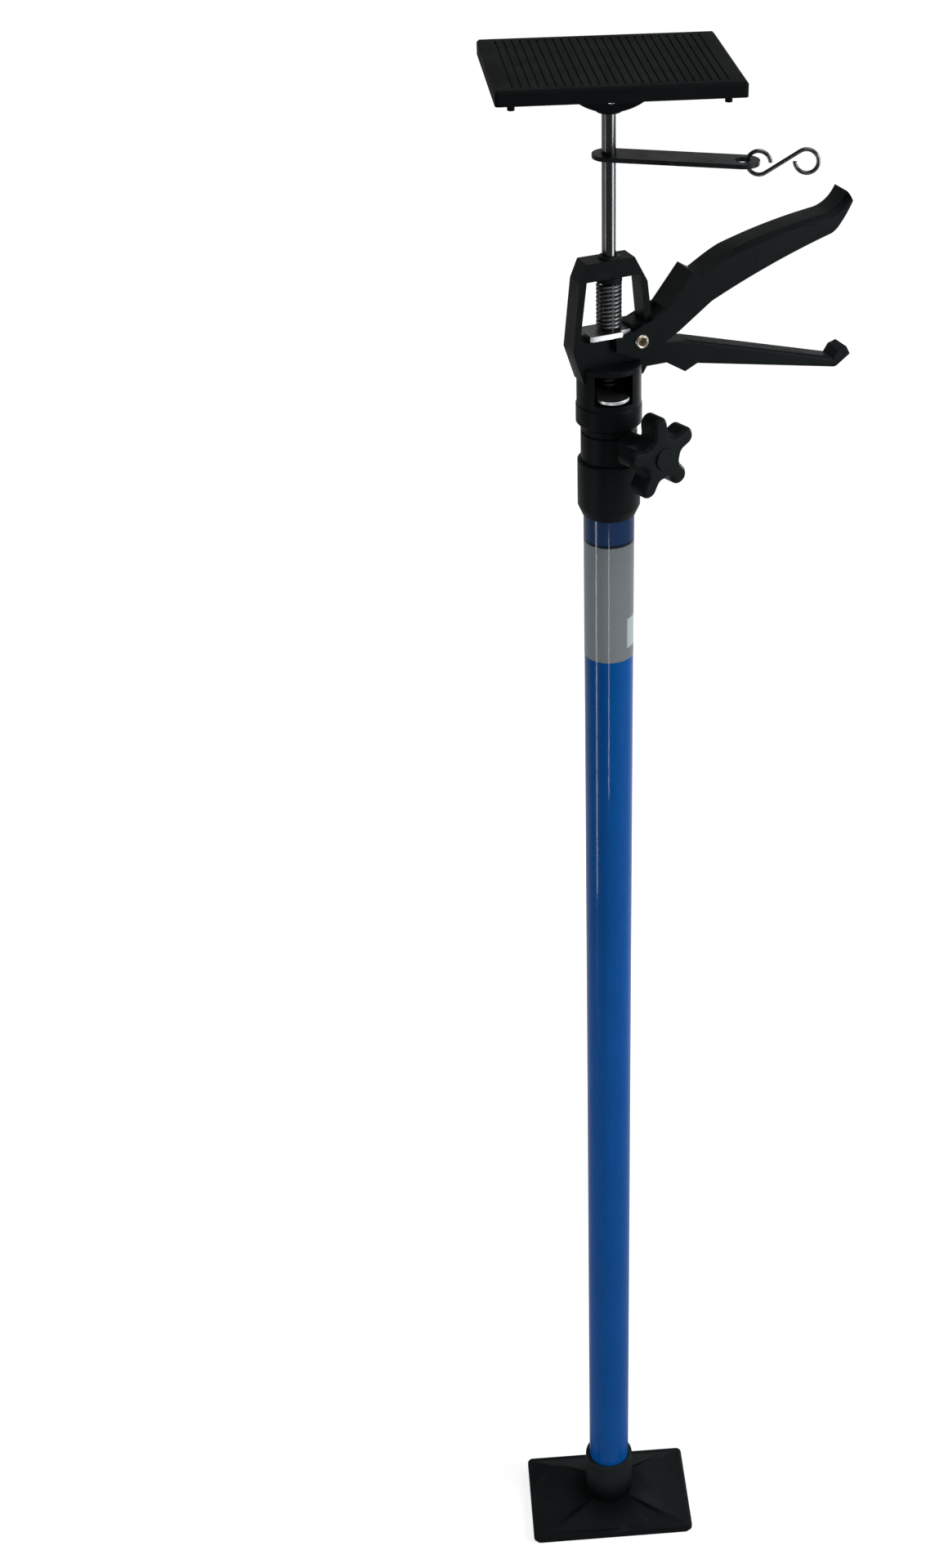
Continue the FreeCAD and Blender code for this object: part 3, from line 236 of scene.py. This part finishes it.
rodSteelValues = dict(
    steelValues, base=(0.125, 0.132, 0.136), shade=(0.10, 0.105, 0.109), scuff=0.04, depth=0.0,
    grain=(500, 500, 20), gloss=(0.5, 0.52, 0.53))
springValues = dict(
    steelValues, base=(0.19, 0.197, 0.203), shade=(0.10, 0.104, 0.107), rough=(0.28, 0.42),
    grain=(600, 600, 600), gloss=(0.3, 0.31, 0.32))
strapValues = {
    "base": (0.008, 0.0105, 0.012), "shade": (0.015, 0.018, 0.0195), "blotch": 70.0,
    "grain": (900, 900, 900), "rough": (0.38, 0.52), "depth": 0.1, "metal": 0.1, "specular": 0.07,
    "scuff": 0.4, "scuffStretch": (120, 500, 300), "scuffColor": (0.06, 0.066, 0.07)}
wireValues = dict(
    steelValues, base=(0.12, 0.128, 0.132), shade=(0.09, 0.096, 0.099), rough=(0.26, 0.32), depth=0.0,
    scuff=0.0, grain=(300, 300, 300), gloss=(0.25, 0.26, 0.27))
rivetValues = dict(
    steelValues, base=(0.66, 0.61, 0.50), shade=(0.48, 0.44, 0.36), rough=(0.25, 0.35), metal=0.8)
brassValues = dict(
    steelValues, base=(0.62, 0.46, 0.20), shade=(0.50, 0.36, 0.15), scuffColor=(0.34, 0.24, 0.1))
nylonValues = dict(plasticValues, base=(0.012, 0.013, 0.014), shade=(0.020, 0.021, 0.022), scuff=0.1)


edgeHighlightValues = {"facing": (0.26, -0.966, 0.0), "dull": (0.030, 0.031, 0.032)}


# Painted highlight and painted shade on the plates: faces turned towards one fixed direction keep the bright steel
# colour, and all other faces get a dark painted shade.
def paintedEdgeHighlight(tree, coords, color, shine):
    mask = putGroup(tree, edgeHighlightGroup, {"Normal": coords["Normal"], "Facing": edgeHighlightValues["facing"],
                                      "Point": coords["Object"]})["Mask"]
    return putMix(tree, mask, edgeHighlightValues["dull"] + (1,), color), shine


# Painted shade along the foot's creases and round its socket, and painted light on the socket, with their colours.
footValues = {
    "crease": 1.62, "start": 6.7, "line": (0.6, 5.8), "lineDark": 0.75, "fade": (32.0, 66.0),
    "socketRadius": 18.0, "socketEdge": (0.2, 0.6), "socketLightShare": 0.8, "paintedLightHeight": (19.0, 44.0),
    "hollowWide": 22.0, "hollowDark": 0.62, "dark": (0.0008, 0.0011, 0.0012),
    "socket": (0.013, 0.016, 0.017)}


# Painted shade along the hip creases, fading towards the corners, and round the foot of the socket; painted light
# on the upper socket; less shine where the shade is painted.
def paintedFootLightAndShade(tree, coords, color, shine):
    values = footValues
    outside = values["socketRadius"] * mm
    lineFrom, lineTo = (part * mm for part in values["line"])
    fadeFrom, fadeTo = (part * mm for part in values["fade"])
    edgeFrom, edgeTo = (outside + part * mm for part in values["socketEdge"])
    paleFrom, paleTo = (part * mm for part in values["paintedLightHeight"])
    place = putNode(tree, "SeparateXYZ", {0: coords["Object"]}).outputs
    across = putMath(tree, "ABSOLUTE", place["X"])
    along = putMath(tree, "ABSOLUTE", place["Y"])
    hip = putMath(tree, "MULTIPLY_ADD", along, values["crease"], -values["start"] * mm)
    offset = putMath(tree, "ABSOLUTE", putMath(tree, "SUBTRACT", across, hip))
    # Painted shade along the hip creases.
    line = putRange(tree, offset, lineFrom, lineTo, values["lineDark"], 0.0)
    flat = putNode(tree, "VectorMath", {0: coords["Object"], 1: (1, 1, 0)}, operation="MULTIPLY").outputs[0]
    radius = putNode(tree, "VectorMath", {0: flat}, operation="LENGTH").outputs["Value"]
    creaseShade = putMath(tree, "MULTIPLY", line, putRange(tree, radius, fadeFrom, fadeTo, 1.0, 0.0))
    # Painted shade round the foot of the socket.
    hollowShade = putRange(tree, radius, outside, outside + values["hollowWide"] * mm, values["hollowDark"], 0.0)
    within = putRange(tree, radius, edgeFrom, edgeTo, values["socketLightShare"], 0.0)
    # Painted light on the upper socket, rising with height.
    upright = putMath(tree, "MULTIPLY", within, putRange(tree, place["Z"], paleFrom, paleTo))
    dark = putMath(tree, "MULTIPLY", putMath(tree, "MAXIMUM", creaseShade, hollowShade),
                   putMath(tree, "SUBTRACT", 1.0, upright))
    color = putMix(tree, dark, color, values["dark"] + (1,))
    color = putMix(tree, upright, color, values["socket"] + (1,))
    return color, putRange(tree, dark, 0.0, 1.0, shine, 0.0)


materials = {
    "black_plastic": makeMaterial("blackPlastic", plasticValues),
    "black_rubber": makeMaterial("blackRubber", rubberValues),
    "blue_paint": makeMaterial("bluePaint", paintValues),
    "zinc_tube": makeMaterial("zincTube", zincValues),
    "bright_steel": makeMaterial("brightSteel", steelValues),
    "spring_steel": makeMaterial("springSteel", springValues),
    "dark_steel": makeMaterial("darkSteel", strapValues),
    "bright_wire": makeMaterial("brightWire", wireValues),
    "brass": makeMaterial("brass", brassValues),
    "grey_nylon": makeMaterial("greyNylon", nylonValues),
}
# Plate steel with a painted highlight on the faces turned one way and painted shade on the rest.
paintedHighlightSteel = makeMaterial("paintedHighlightSteel", plateHighlightValues, paintedEdgeHighlight)
rivetSteel = makeMaterial("rivetSteel", rivetValues)
rodSteel = makeMaterial("rodSteel", rodSteelValues)
# Foot plastic with painted shade and painted light.
footShadedPlastic = makeMaterial("footShadedPlastic", plasticValues, paintedFootLightAndShade)
print("materials made")


weldGap = 1e-7  # metres


# Piece helpers
def newPiece(name, work, body, material, stands=(), smooth=30):
    mesh = bpy.data.meshes.new(name)
    bmesh.ops.recalc_face_normals(work, faces=work.faces)
    work.to_mesh(mesh)
    work.free()
    mesh.polygons.foreach_set("use_smooth", [True] * len(mesh.polygons))
    mesh.set_sharp_from_angle(angle=math.radians(smooth))
    mesh.materials.append(material)
    piece = bpy.data.objects.new(name, mesh)
    collection.objects.link(piece)
    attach(piece, body)
    for node in stands:
        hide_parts(node)
    return piece


def camelName(node, ending):
    first, *rest = node.split("_")
    return first + "".join(word.capitalize() for word in rest) + ending


dressValues = {"weld": 2e-6, "flat": 0.4, "angle": 28}  # metres, degrees, degrees


# A merged copy of a CAD node with softened edges, which stands for it.
def dress(node, bevel, segments=2, material=None):
    work = bmesh.new()
    work.from_mesh(frame["nodes"][node].data)
    bmesh.ops.remove_doubles(work, verts=work.verts, dist=dressValues["weld"])
    bmesh.ops.dissolve_limit(work, angle_limit=math.radians(dressValues["flat"]), verts=work.verts,
                             edges=work.edges)
    slotName = slotOf[node]
    piece = newPiece(camelName(node, "Form"), work, bodyOf[node],
                     material or materials[slotName], [node])
    edge = piece.modifiers.new("softEdges", "BEVEL")
    edge.width = bevel * mm
    edge.segments = segments
    edge.limit_method = "ANGLE"
    edge.angle_limit = math.radians(dressValues["angle"])
    edge.harden_normals = True


# A profile of (radius, height) in millimetres, spun about the height axis and then set in place.
def turned(profile, place, sides):
    work = bmesh.new()
    corners = [work.verts.new((radius * mm, 0, height * mm)) for radius, height in profile]
    edges = [work.edges.new(pair) for pair in zip(corners, corners[1:])]
    if profile[0][0] > 0 and profile[-1][0] > 0:
        edges.append(work.edges.new((corners[-1], corners[0])))
    bmesh.ops.spin(work, geom=corners + edges, cent=(0, 0, 0), axis=(0, 0, 1), angle=2 * math.pi, steps=sides,
                   use_merge=True)
    bmesh.ops.remove_doubles(work, verts=work.verts, dist=weldGap)
    work.transform(place)
    return work


# A wire starts as a capped circle; its last ring is led on by spins and straight runs.
def startWire(place, radius, sides):
    work = bmesh.new()
    bmesh.ops.create_circle(work, cap_ends=True, segments=sides, radius=radius * mm, matrix=place)
    return work, work.verts[:] + work.edges[:]


def bendWire(work, ring, center, axis, angle, steps, rise=0.0):
    bend = bmesh.ops.spin(work, geom=ring, cent=center, axis=axis, angle=angle, steps=steps,
                          dvec=(0, 0, rise * mm / steps))
    return bend["geom_last"]


def runWire(work, ring, along):
    edges = [part for part in ring if isinstance(part, bmesh.types.BMEdge)]
    run = bmesh.ops.extrude_edge_only(work, edges=edges)["geom"]
    bmesh.ops.translate(work, verts=[part for part in run if isinstance(part, bmesh.types.BMVert)], vec=along)
    return [part for part in run if not isinstance(part, bmesh.types.BMFace)]


def endWire(work, ring):
    bmesh.ops.edgeloop_fill(work, edges=[part for part in ring if isinstance(part, bmesh.types.BMEdge)])


def boxOf(node):
    low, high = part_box(node)
    return low / mm, high / mm


# The place and direction of a joint's axis, as a matrix whose Z runs along it.
def jointFrame(name):
    joint = joints[name]
    turn = Vector(joint["axis"]).to_track_quat("Z", "Y").to_matrix().to_4x4()
    return Matrix.Translation(joint["pos_m"]) @ turn


# How far a node reaches along a joint's axis, either way from the joint's place.
def reachAlong(node, name):
    joint = joints[name]
    heights = [(vertex.co - Vector(joint["pos_m"])).dot(Vector(joint["axis"])) / mm
               for vertex in frame["nodes"][node].data.vertices]
    return min(heights), max(heights)


# Moulded and pressed parts, with their edges softened
softEdges = {
    "foot_plate": 0.7, "foot_sole": 0.4, "clamp_collar": 0.5, "clamp_knob": 1.0, "pump_body": 0.7,
    "trigger": 0.9, "swivel_hub": 0.4, "top_plate": 0.5, "top_pad": 0.4, "hanger_bar": 0.4,
    "drive_plate": 0.35, "brake_plate": 0.35, "rod_guide": 0.2, "rod_clip": 0.15}
wideEdge = 0.6  # wider edges get one segment more
ownMaterial = {"foot_plate": footShadedPlastic, "drive_plate": paintedHighlightSteel, "brake_plate": paintedHighlightSteel}
for node, bevel in softEdges.items():
    dress(node, bevel, 3 if bevel > wideEdge else 2, ownMaterial.get(node))
for node in ("inner_tube", "guide_bush", "body_rivet", "hub_keeper", "clamp_insert", "clamp_pad"):
    mesh = frame["nodes"][node].data
    mesh.materials.clear()
    mesh.materials.append(materials[slotOf[node]])
print("forms dressed")

# Tube and its printed sleeve
tubeLow, tubeHigh = boxOf("outer_tube")
tubeValues = {"radius": tubeHigh.x, "wall": 1.2, "rim": 0.25, "sides": 96}


def makeTube():
    outer = tubeValues["radius"]
    inner = outer - tubeValues["wall"]
    rim = tubeValues["rim"]
    low, high = tubeLow.z, tubeHigh.z
    profile = [(inner, low), (outer, low), (outer, high - rim), (outer - rim, high), (inner, high)]
    newPiece("tubeForm", turned(profile, Matrix.Identity(4), tubeValues["sides"]), "base",
             materials["blue_paint"], ["outer_tube"])


# Print colours of the sleeve, a painted shadow line and a painted light-to-shade fall-off across it.
sleeveValues = {
    "low": 771.0, "split": 849.0, "splitSoft": 0.3, "gap": 0.2, "lift": 0.01, "thick": 0.12, "rings": 12,
    "grey": (0.175, 0.192, 0.205), "greyShade": 0.86, "greyScuff": (0.24, 0.25, 0.25),
    "rough": (0.3, 0.4), "grain": (900, 900, 900),
    "navy": (0.012, 0.030, 0.085), "band": (-0.6, 1.4), "bandDark": 0.9, "edgeShadowColor": (0.004, 0.006, 0.009),
    "pale": (0.40, 0.46, 0.46), "patchLow": 779.0, "patchHigh": 799.0, "patchFrom": -48.0, "patchTo": -8.0,
    "printSoft": 0.5, "patchSoft": 0.03, "fade": (1.3, 0.75)}


# Navy print above, grey print below, a painted shadow line where they meet and one blank pale patch; painted light
# on the left side and painted shade on the right.
def sleevePrintAndShade(tree, coords, color, shine):
    values = sleeveValues
    split, soft = values["split"], values["splitSoft"]
    printSoft = values["printSoft"] * mm
    bandLow, bandHigh = ((split + part) * mm for part in values["band"])
    patchFrom, patchTo = math.radians(values["patchFrom"]), math.radians(values["patchTo"])
    side = tubeValues["radius"] * mm
    place = putNode(tree, "SeparateXYZ", {0: coords["Object"]}).outputs
    angle = putMath(tree, "ARCTAN2", place["Y"], place["X"])
    height = place["Z"]
    upper = putRange(tree, height, (split - soft) * mm, (split + soft) * mm)
    color = putMix(tree, upper, color, values["navy"] + (1,))
    # Painted shadow line along the top edge of the grey label.
    band = putMath(tree, "MULTIPLY", putBand(tree, height, bandLow, bandHigh, printSoft), values["bandDark"])
    color = putMix(tree, band, color, values["edgeShadowColor"] + (1,))
    patch = putMath(tree, "MULTIPLY",
                    putBand(tree, height, values["patchLow"] * mm, values["patchHigh"] * mm, printSoft),
                    putBand(tree, angle, patchFrom, patchTo, values["patchSoft"]))
    color = putMix(tree, patch, color, values["pale"] + (1,))
    # Painted light on the left of the sleeve and painted shade on its right.
    fade = putRange(tree, place["X"], -side, side, *values["fade"])
    return putMix(tree, 1.0, color, fade, "MULTIPLY"), shine


def makeSleeve():
    values = sleeveValues
    low, high = values["low"], boxOf("clamp_collar")[0].z - values["gap"]
    inner = tubeValues["radius"] + values["lift"]
    outer = inner + values["thick"]
    rings = values["rings"]
    steps = [low + (high - low) * step / rings for step in range(rings + 1)]
    profile = [(inner, low)] + [(outer, height) for height in steps] + [(inner, high)]
    shade = tuple(part * values["greyShade"] for part in values["grey"])
    paper = dict(paintValues, base=values["grey"], shade=shade, scuffColor=values["greyScuff"],
                 rough=values["rough"], grain=values["grain"])
    newPiece("sleeveLabel", turned(profile, Matrix.Identity(4), tubeValues["sides"]), "base",
             makeMaterial("sleevePaper", paper, sleevePrintAndShade))


makeTube()
makeSleeve()
print("tube and sleeve made")

# Lifting rod
rodLow, rodHigh = boxOf("lift_rod")
rodValues = {"chamfer": 0.8, "clipEnd": 5.0, "clipSlot": 1.3, "clipSeat": 1.0, "keeperDrop": 3.0,
             "keeperHalf": 1.1, "keeperSeat": 0.8, "sides": 56}


def makeRod():
    values = rodValues
    radius = rodHigh.x
    low, high = rodLow.z, rodHigh.z
    chamfer, half = values["chamfer"], values["keeperHalf"]
    slot = low + values["clipEnd"]
    slotTop = slot + values["clipSlot"]
    keeper = high - values["keeperDrop"]
    slim, neck = radius - values["clipSeat"], radius - values["keeperSeat"]
    profile = [
        (0, low), (radius - chamfer, low), (radius, low + chamfer), (radius, slot), (slim, slot),
        (slim, slotTop), (radius, slotTop), (radius, keeper - half), (neck, keeper - half),
        (neck, keeper + half), (radius, keeper + half), (radius, high - chamfer), (radius - chamfer, high),
        (0, high)]
    newPiece("rodForm", turned(profile, Matrix.Identity(4), values["sides"]), "rod", rodSteel,
             ["lift_rod"])


makeRod()

# Springs: closed end coils and an even pitch between them
springData = {
    "drive_spring": {"joint": "drive_lift", "turns": 11.25, "wire": 0.95, "closed": 1.0, "keep": 0.76},
    "brake_spring": {"joint": "brake_release", "turns": 4.0, "wire": 0.7, "closed": 0.75, "keep": 0.92},
}
coilValues = {"steps": 28, "sides": 10}  # per turn, round the wire


def makeSpring(node, values):
    low, high = boxOf(node)
    wire, closed = values["wire"], values["closed"]
    radius = (high.x - low.x) / 2 - wire
    middle = values["turns"] - 2 * closed
    endRise = 2 * wire * closed
    rise = high.z - low.z - 2 * wire - 2 * endRise
    place = Matrix.Translation((radius * mm, 0, (low.z + wire) * mm)) @ Matrix.Rotation(math.pi / 2, 4, "X")
    work, ring = startWire(place, wire, coilValues["sides"])
    for turns, climb in ((closed, endRise), (middle, rise), (closed, endRise)):
        ring = bendWire(work, ring, (0, 0, 0), (0, 0, 1), 2 * math.pi * turns,
                        round(turns * coilValues["steps"]), climb)
    endWire(work, ring)
    piece = newPiece(camelName(node, "Coil"), work, bodyOf[node], materials[slotOf[node]],
                     [node])
    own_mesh(piece)


for node, values in springData.items():
    makeSpring(node, values)
print("rod and springs made")


# The profile of a pin with the same head at both ends.
def pinProfile(head, slim, half):
    lower = [(radius, -height) for radius, height in reversed(head)]
    return lower + [(slim, -half), (slim, half)] + head


# Pivot: a tubular rivet across the head
pivotValues = {
    "head": 1.2, "headRadius": 4.2, "radius": 3.0, "bore": 2.4, "deep": 9.0, "sides": 48,
    "outside": ((0.0, 0.1), (-0.2, 0.55), (-0.9, 1.1)),  # rim, from the head's edge
    "inside": ((0.7, 0.0), (0.2, -0.25), (0.0, -0.8))}  # rim, from the bore's mouth


def makePivot():
    values = pivotValues
    top = reachAlong("pivot_pin", "trigger_squeeze")[1]
    half = top - values["head"]
    wide, slim, bore = values["headRadius"], values["radius"], values["bore"]
    floor = top - values["deep"]
    rolled = [(wide + out, half + up) for out, up in values["outside"]]
    rolled += [(bore + out, top + up) for out, up in values["inside"]]
    rolled += [(bore, floor), (0, floor)]
    work = turned(pinProfile(rolled, slim, half), jointFrame("trigger_squeeze"), values["sides"])
    newPiece("pivotRivet", work, "head", rivetSteel, ["pivot_pin"])


# Tilt pin with domed heads
tiltValues = {"head": 1.2, "headRadius": 4.0, "radius": 2.5, "sides": 40,
              "dome": ((1.0, 0.0), (0.92, 0.5), (0.6, 0.88), (0.0, 1.0))}  # shares of radius and head


def makeTilt():
    values = tiltValues
    slim, head = values["radius"], values["head"]
    half = reachAlong("tilt_pin", "plate_tilt")[1] - head
    dome = [(values["headRadius"] * out, half + head * up) for out, up in values["dome"]]
    work = turned(pinProfile(dome, slim, half), jointFrame("plate_tilt"), values["sides"])
    newPiece("tiltRivet", work, "top", materials["bright_steel"], ["tilt_pin"])


makePivot()
makeTilt()

# Clamp stud with its thread
studValues = {"crest": 3.0, "root": 2.5, "pitch": 1.25, "early": 2, "spare": 3, "weld": 0.001, "sides": 32,
              "smooth": 60}


# One edge of teeth spun once round while it climbs by a pitch, then cut to length.
def makeStud():
    values = studValues
    pitch = values["pitch"]
    start, end = reachAlong("clamp_stud", "knob_turn")
    teeth = math.ceil((end - start) / pitch) + values["spare"]
    below = start - values["early"] * pitch
    work = bmesh.new()
    corners = []
    for step in range(2 * teeth + 1):
        radius = values["crest"] if step % 2 else values["root"]
        corners.append(work.verts.new((radius * mm, 0, (below + step * pitch / 2) * mm)))
    edges = [work.edges.new(pair) for pair in zip(corners, corners[1:])]
    bendWire(work, corners + edges, (0, 0, 0), (0, 0, 1), 2 * math.pi, values["sides"], pitch)
    bmesh.ops.remove_doubles(work, verts=work.verts, dist=values["weld"] * mm)
    for height, facing in ((start, -1), (end, 1)):
        trim = bmesh.ops.bisect_plane(work, geom=work.verts[:] + work.edges[:] + work.faces[:], dist=weldGap,
                                      plane_co=(0, 0, height * mm), plane_no=(0, 0, facing), clear_outer=True)
        endWire(work, trim["geom_cut"])
    work.transform(jointFrame("knob_turn"))
    newPiece("studThread", work, "knob", materials["bright_steel"], ["clamp_stud"],
             values["smooth"])


makeStud()

# S-hook of round wire
hookValues = {"span": 25.8, "radius": 6.4, "wire": 1.1, "sides": 16, "tilt": 5.0, "steps": 40}


def makeHook():
    values = hookValues
    radius, span = values["radius"], values["span"]
    lean = math.asin(2 * radius / span)  # from the upright to the slanted line
    sweep = 1.5 * math.pi + lean
    leave = Vector((radius * math.cos(sweep), 0, radius * math.sin(sweep))) * mm
    arrive = Vector((span * mm, 0, 0)) - leave
    work, ring = startWire(Matrix.Translation((radius * mm, 0, 0)), values["wire"], values["sides"])
    ring = bendWire(work, ring, (0, 0, 0), (0, -1, 0), sweep, values["steps"])
    ring = runWire(work, ring, arrive - leave)
    ring = bendWire(work, ring, (span * mm, 0, 0), (0, 1, 0), sweep, values["steps"])
    endWire(work, ring)
    joint = joints["hook_swing"]
    yaw = math.atan2(-joint["axis"][0], joint["axis"][1])
    work.transform(Matrix.Translation(joint["pos_m"]) @ Matrix.Rotation(yaw, 4, "Z")
                   @ Matrix.Rotation(math.radians(-values["tilt"]), 4, "Y"))
    newPiece("hookWire", work, "hook", materials["bright_wire"], ["s_hook"])


makeHook()
print("fasteners and hook made")

# Stage: camera, floor, lights
cameraValues = {"place": (-0.11798, -1.22524, 1.4584), "tilt": 57.5, "turn": -5.5, "lens": 52.53,
                "shift": -0.093}
camera = bpy.data.objects.new("camera", bpy.data.cameras.new("camera"))
collection.objects.link(camera)
camera.location = cameraValues["place"]
camera.rotation_euler = (math.radians(cameraValues["tilt"]), 0, math.radians(cameraValues["turn"]))
camera.data.lens = cameraValues["lens"]
camera.data.shift_x = cameraValues["shift"]
bpy.context.scene.camera = camera

# The white sweep lies behind the part; towards the camera it fades out for reflections.
sweepValues = {"from": -0.2, "to": 0.8, "dim": 0.06, "white": 0.7}


def putWhite(tree, depth, white):
    values = sweepValues
    path = putNode(tree, "LightPath").outputs
    mirrored = putRange(tree, depth, values["from"], values["to"], values["dim"], values["white"])
    shown = putMath(tree, "MAXIMUM", path["Is Camera Ray"], path["Is Transmission Ray"])
    return putMath(tree, "MAXIMUM", putMath(tree, "MULTIPLY", shown, white),
                   putMath(tree, "MULTIPLY", path["Is Glossy Ray"], mirrored))


# The floor glows a little less near the part, so that its shadow stays.
floorValues = {"half": 6.0, "albedo": 0.35, "spotScale": 40.0, "spotShare": 0.98, "near": 0.76, "far": 0.97,
               "from": 0.1, "to": 0.7}


def makeFloor():
    values = floorValues
    work = bmesh.new()
    bmesh.ops.create_grid(work, x_segments=1, y_segments=1, size=values["half"])
    mesh = bpy.data.meshes.new("floor")
    work.to_mesh(mesh)
    work.free()
    material = bpy.data.materials.new("paleFloor")
    material.use_nodes = True
    tree = material.node_tree
    tree.nodes.clear()
    point = putNode(tree, "TexCoord").outputs["Object"]
    depth = putNode(tree, "SeparateXYZ", {0: point}).outputs["Y"]
    spots = putNode(tree, "TexNoise", {"Vector": point, "Scale": values["spotScale"]})
    albedo = values["albedo"]
    tone = putRange(tree, spots.outputs["Fac"], 0.0, 1.0, albedo * values["spotShare"], albedo)
    matt = putNode(tree, "BsdfDiffuse", {"Color": tone})
    away = putNode(tree, "VectorMath", {0: point}, operation="LENGTH").outputs["Value"]
    white = putRange(tree, away, values["from"], values["to"], values["near"], values["far"])
    glow = putNode(tree, "Emission", {"Color": (1, 1, 1, 1), "Strength": putWhite(tree, depth, white)})
    both = putNode(tree, "AddShader", {0: matt.outputs[0], 1: glow.outputs[0]})
    putNode(tree, "OutputMaterial", {"Surface": both.outputs[0]})
    mesh.materials.append(material)
    floor = bpy.data.objects.new("floor", mesh)
    collection.objects.link(floor)


lightData = {
    "keyLight": {"place": (1.25, -0.55, 1.0), "aim": (0, 0, 0.6), "size": (0.7, 1.3), "power": 24.0},
    "topLight": {"place": (0.2, -0.35, 2.4), "aim": (0, 0, 0.6), "size": (1.2, 1.2), "power": 14.0},
    "backLight": {"place": (0.9, 1.3, 0.7), "aim": (0, 0, 0.8), "size": (0.8, 0.8), "power": 12.0},
    "headStrip": {"place": (-0.75, -0.35, 0.68), "aim": (0, 0, 0.8), "size": (0.25, 0.45), "power": 0.8},
    "leftStrip": {"place": (-0.73, -0.33, 0.27), "aim": (0, 0, 0.27), "size": (0.08, 0.46), "power": 2.4},
    "frontStrip": {"place": (-0.077, -0.796, 0.32), "aim": (0, 0, 0.32), "size": (0.05, 0.3), "power": 1.1},
}


def makeLights():
    for name, values in lightData.items():
        data = bpy.data.lights.new(name, "AREA")
        data.shape = "RECTANGLE"
        data.size, data.size_y = values["size"]
        data.energy = values["power"]
        light = bpy.data.objects.new(name, data)
        collection.objects.link(light)
        light.location = values["place"]
        view = Vector(values["aim"]) - Vector(values["place"])
        light.rotation_euler = view.to_track_quat("-Z", "Y").to_euler()
        light.visible_camera = False


worldFill = 0.1  # even light from all round


def makeWorld():
    world = bpy.data.worlds.new("studio")
    bpy.context.scene.world = world
    world.use_nodes = True
    tree = world.node_tree
    tree.nodes.clear()
    depth = putNode(tree, "SeparateXYZ", {0: putNode(tree, "TexCoord").outputs["Generated"]}).outputs["Y"]
    strength = putMath(tree, "MAXIMUM", putWhite(tree, depth, 1.0), worldFill)
    back = putNode(tree, "Background", {"Color": (1, 1, 1, 1), "Strength": strength})
    putNode(tree, "OutputWorld", {"Surface": back.outputs[0]})


makeFloor()
makeLights()
makeWorld()
bpy.context.scene.view_settings.view_transform = "Standard"
print("stage made")
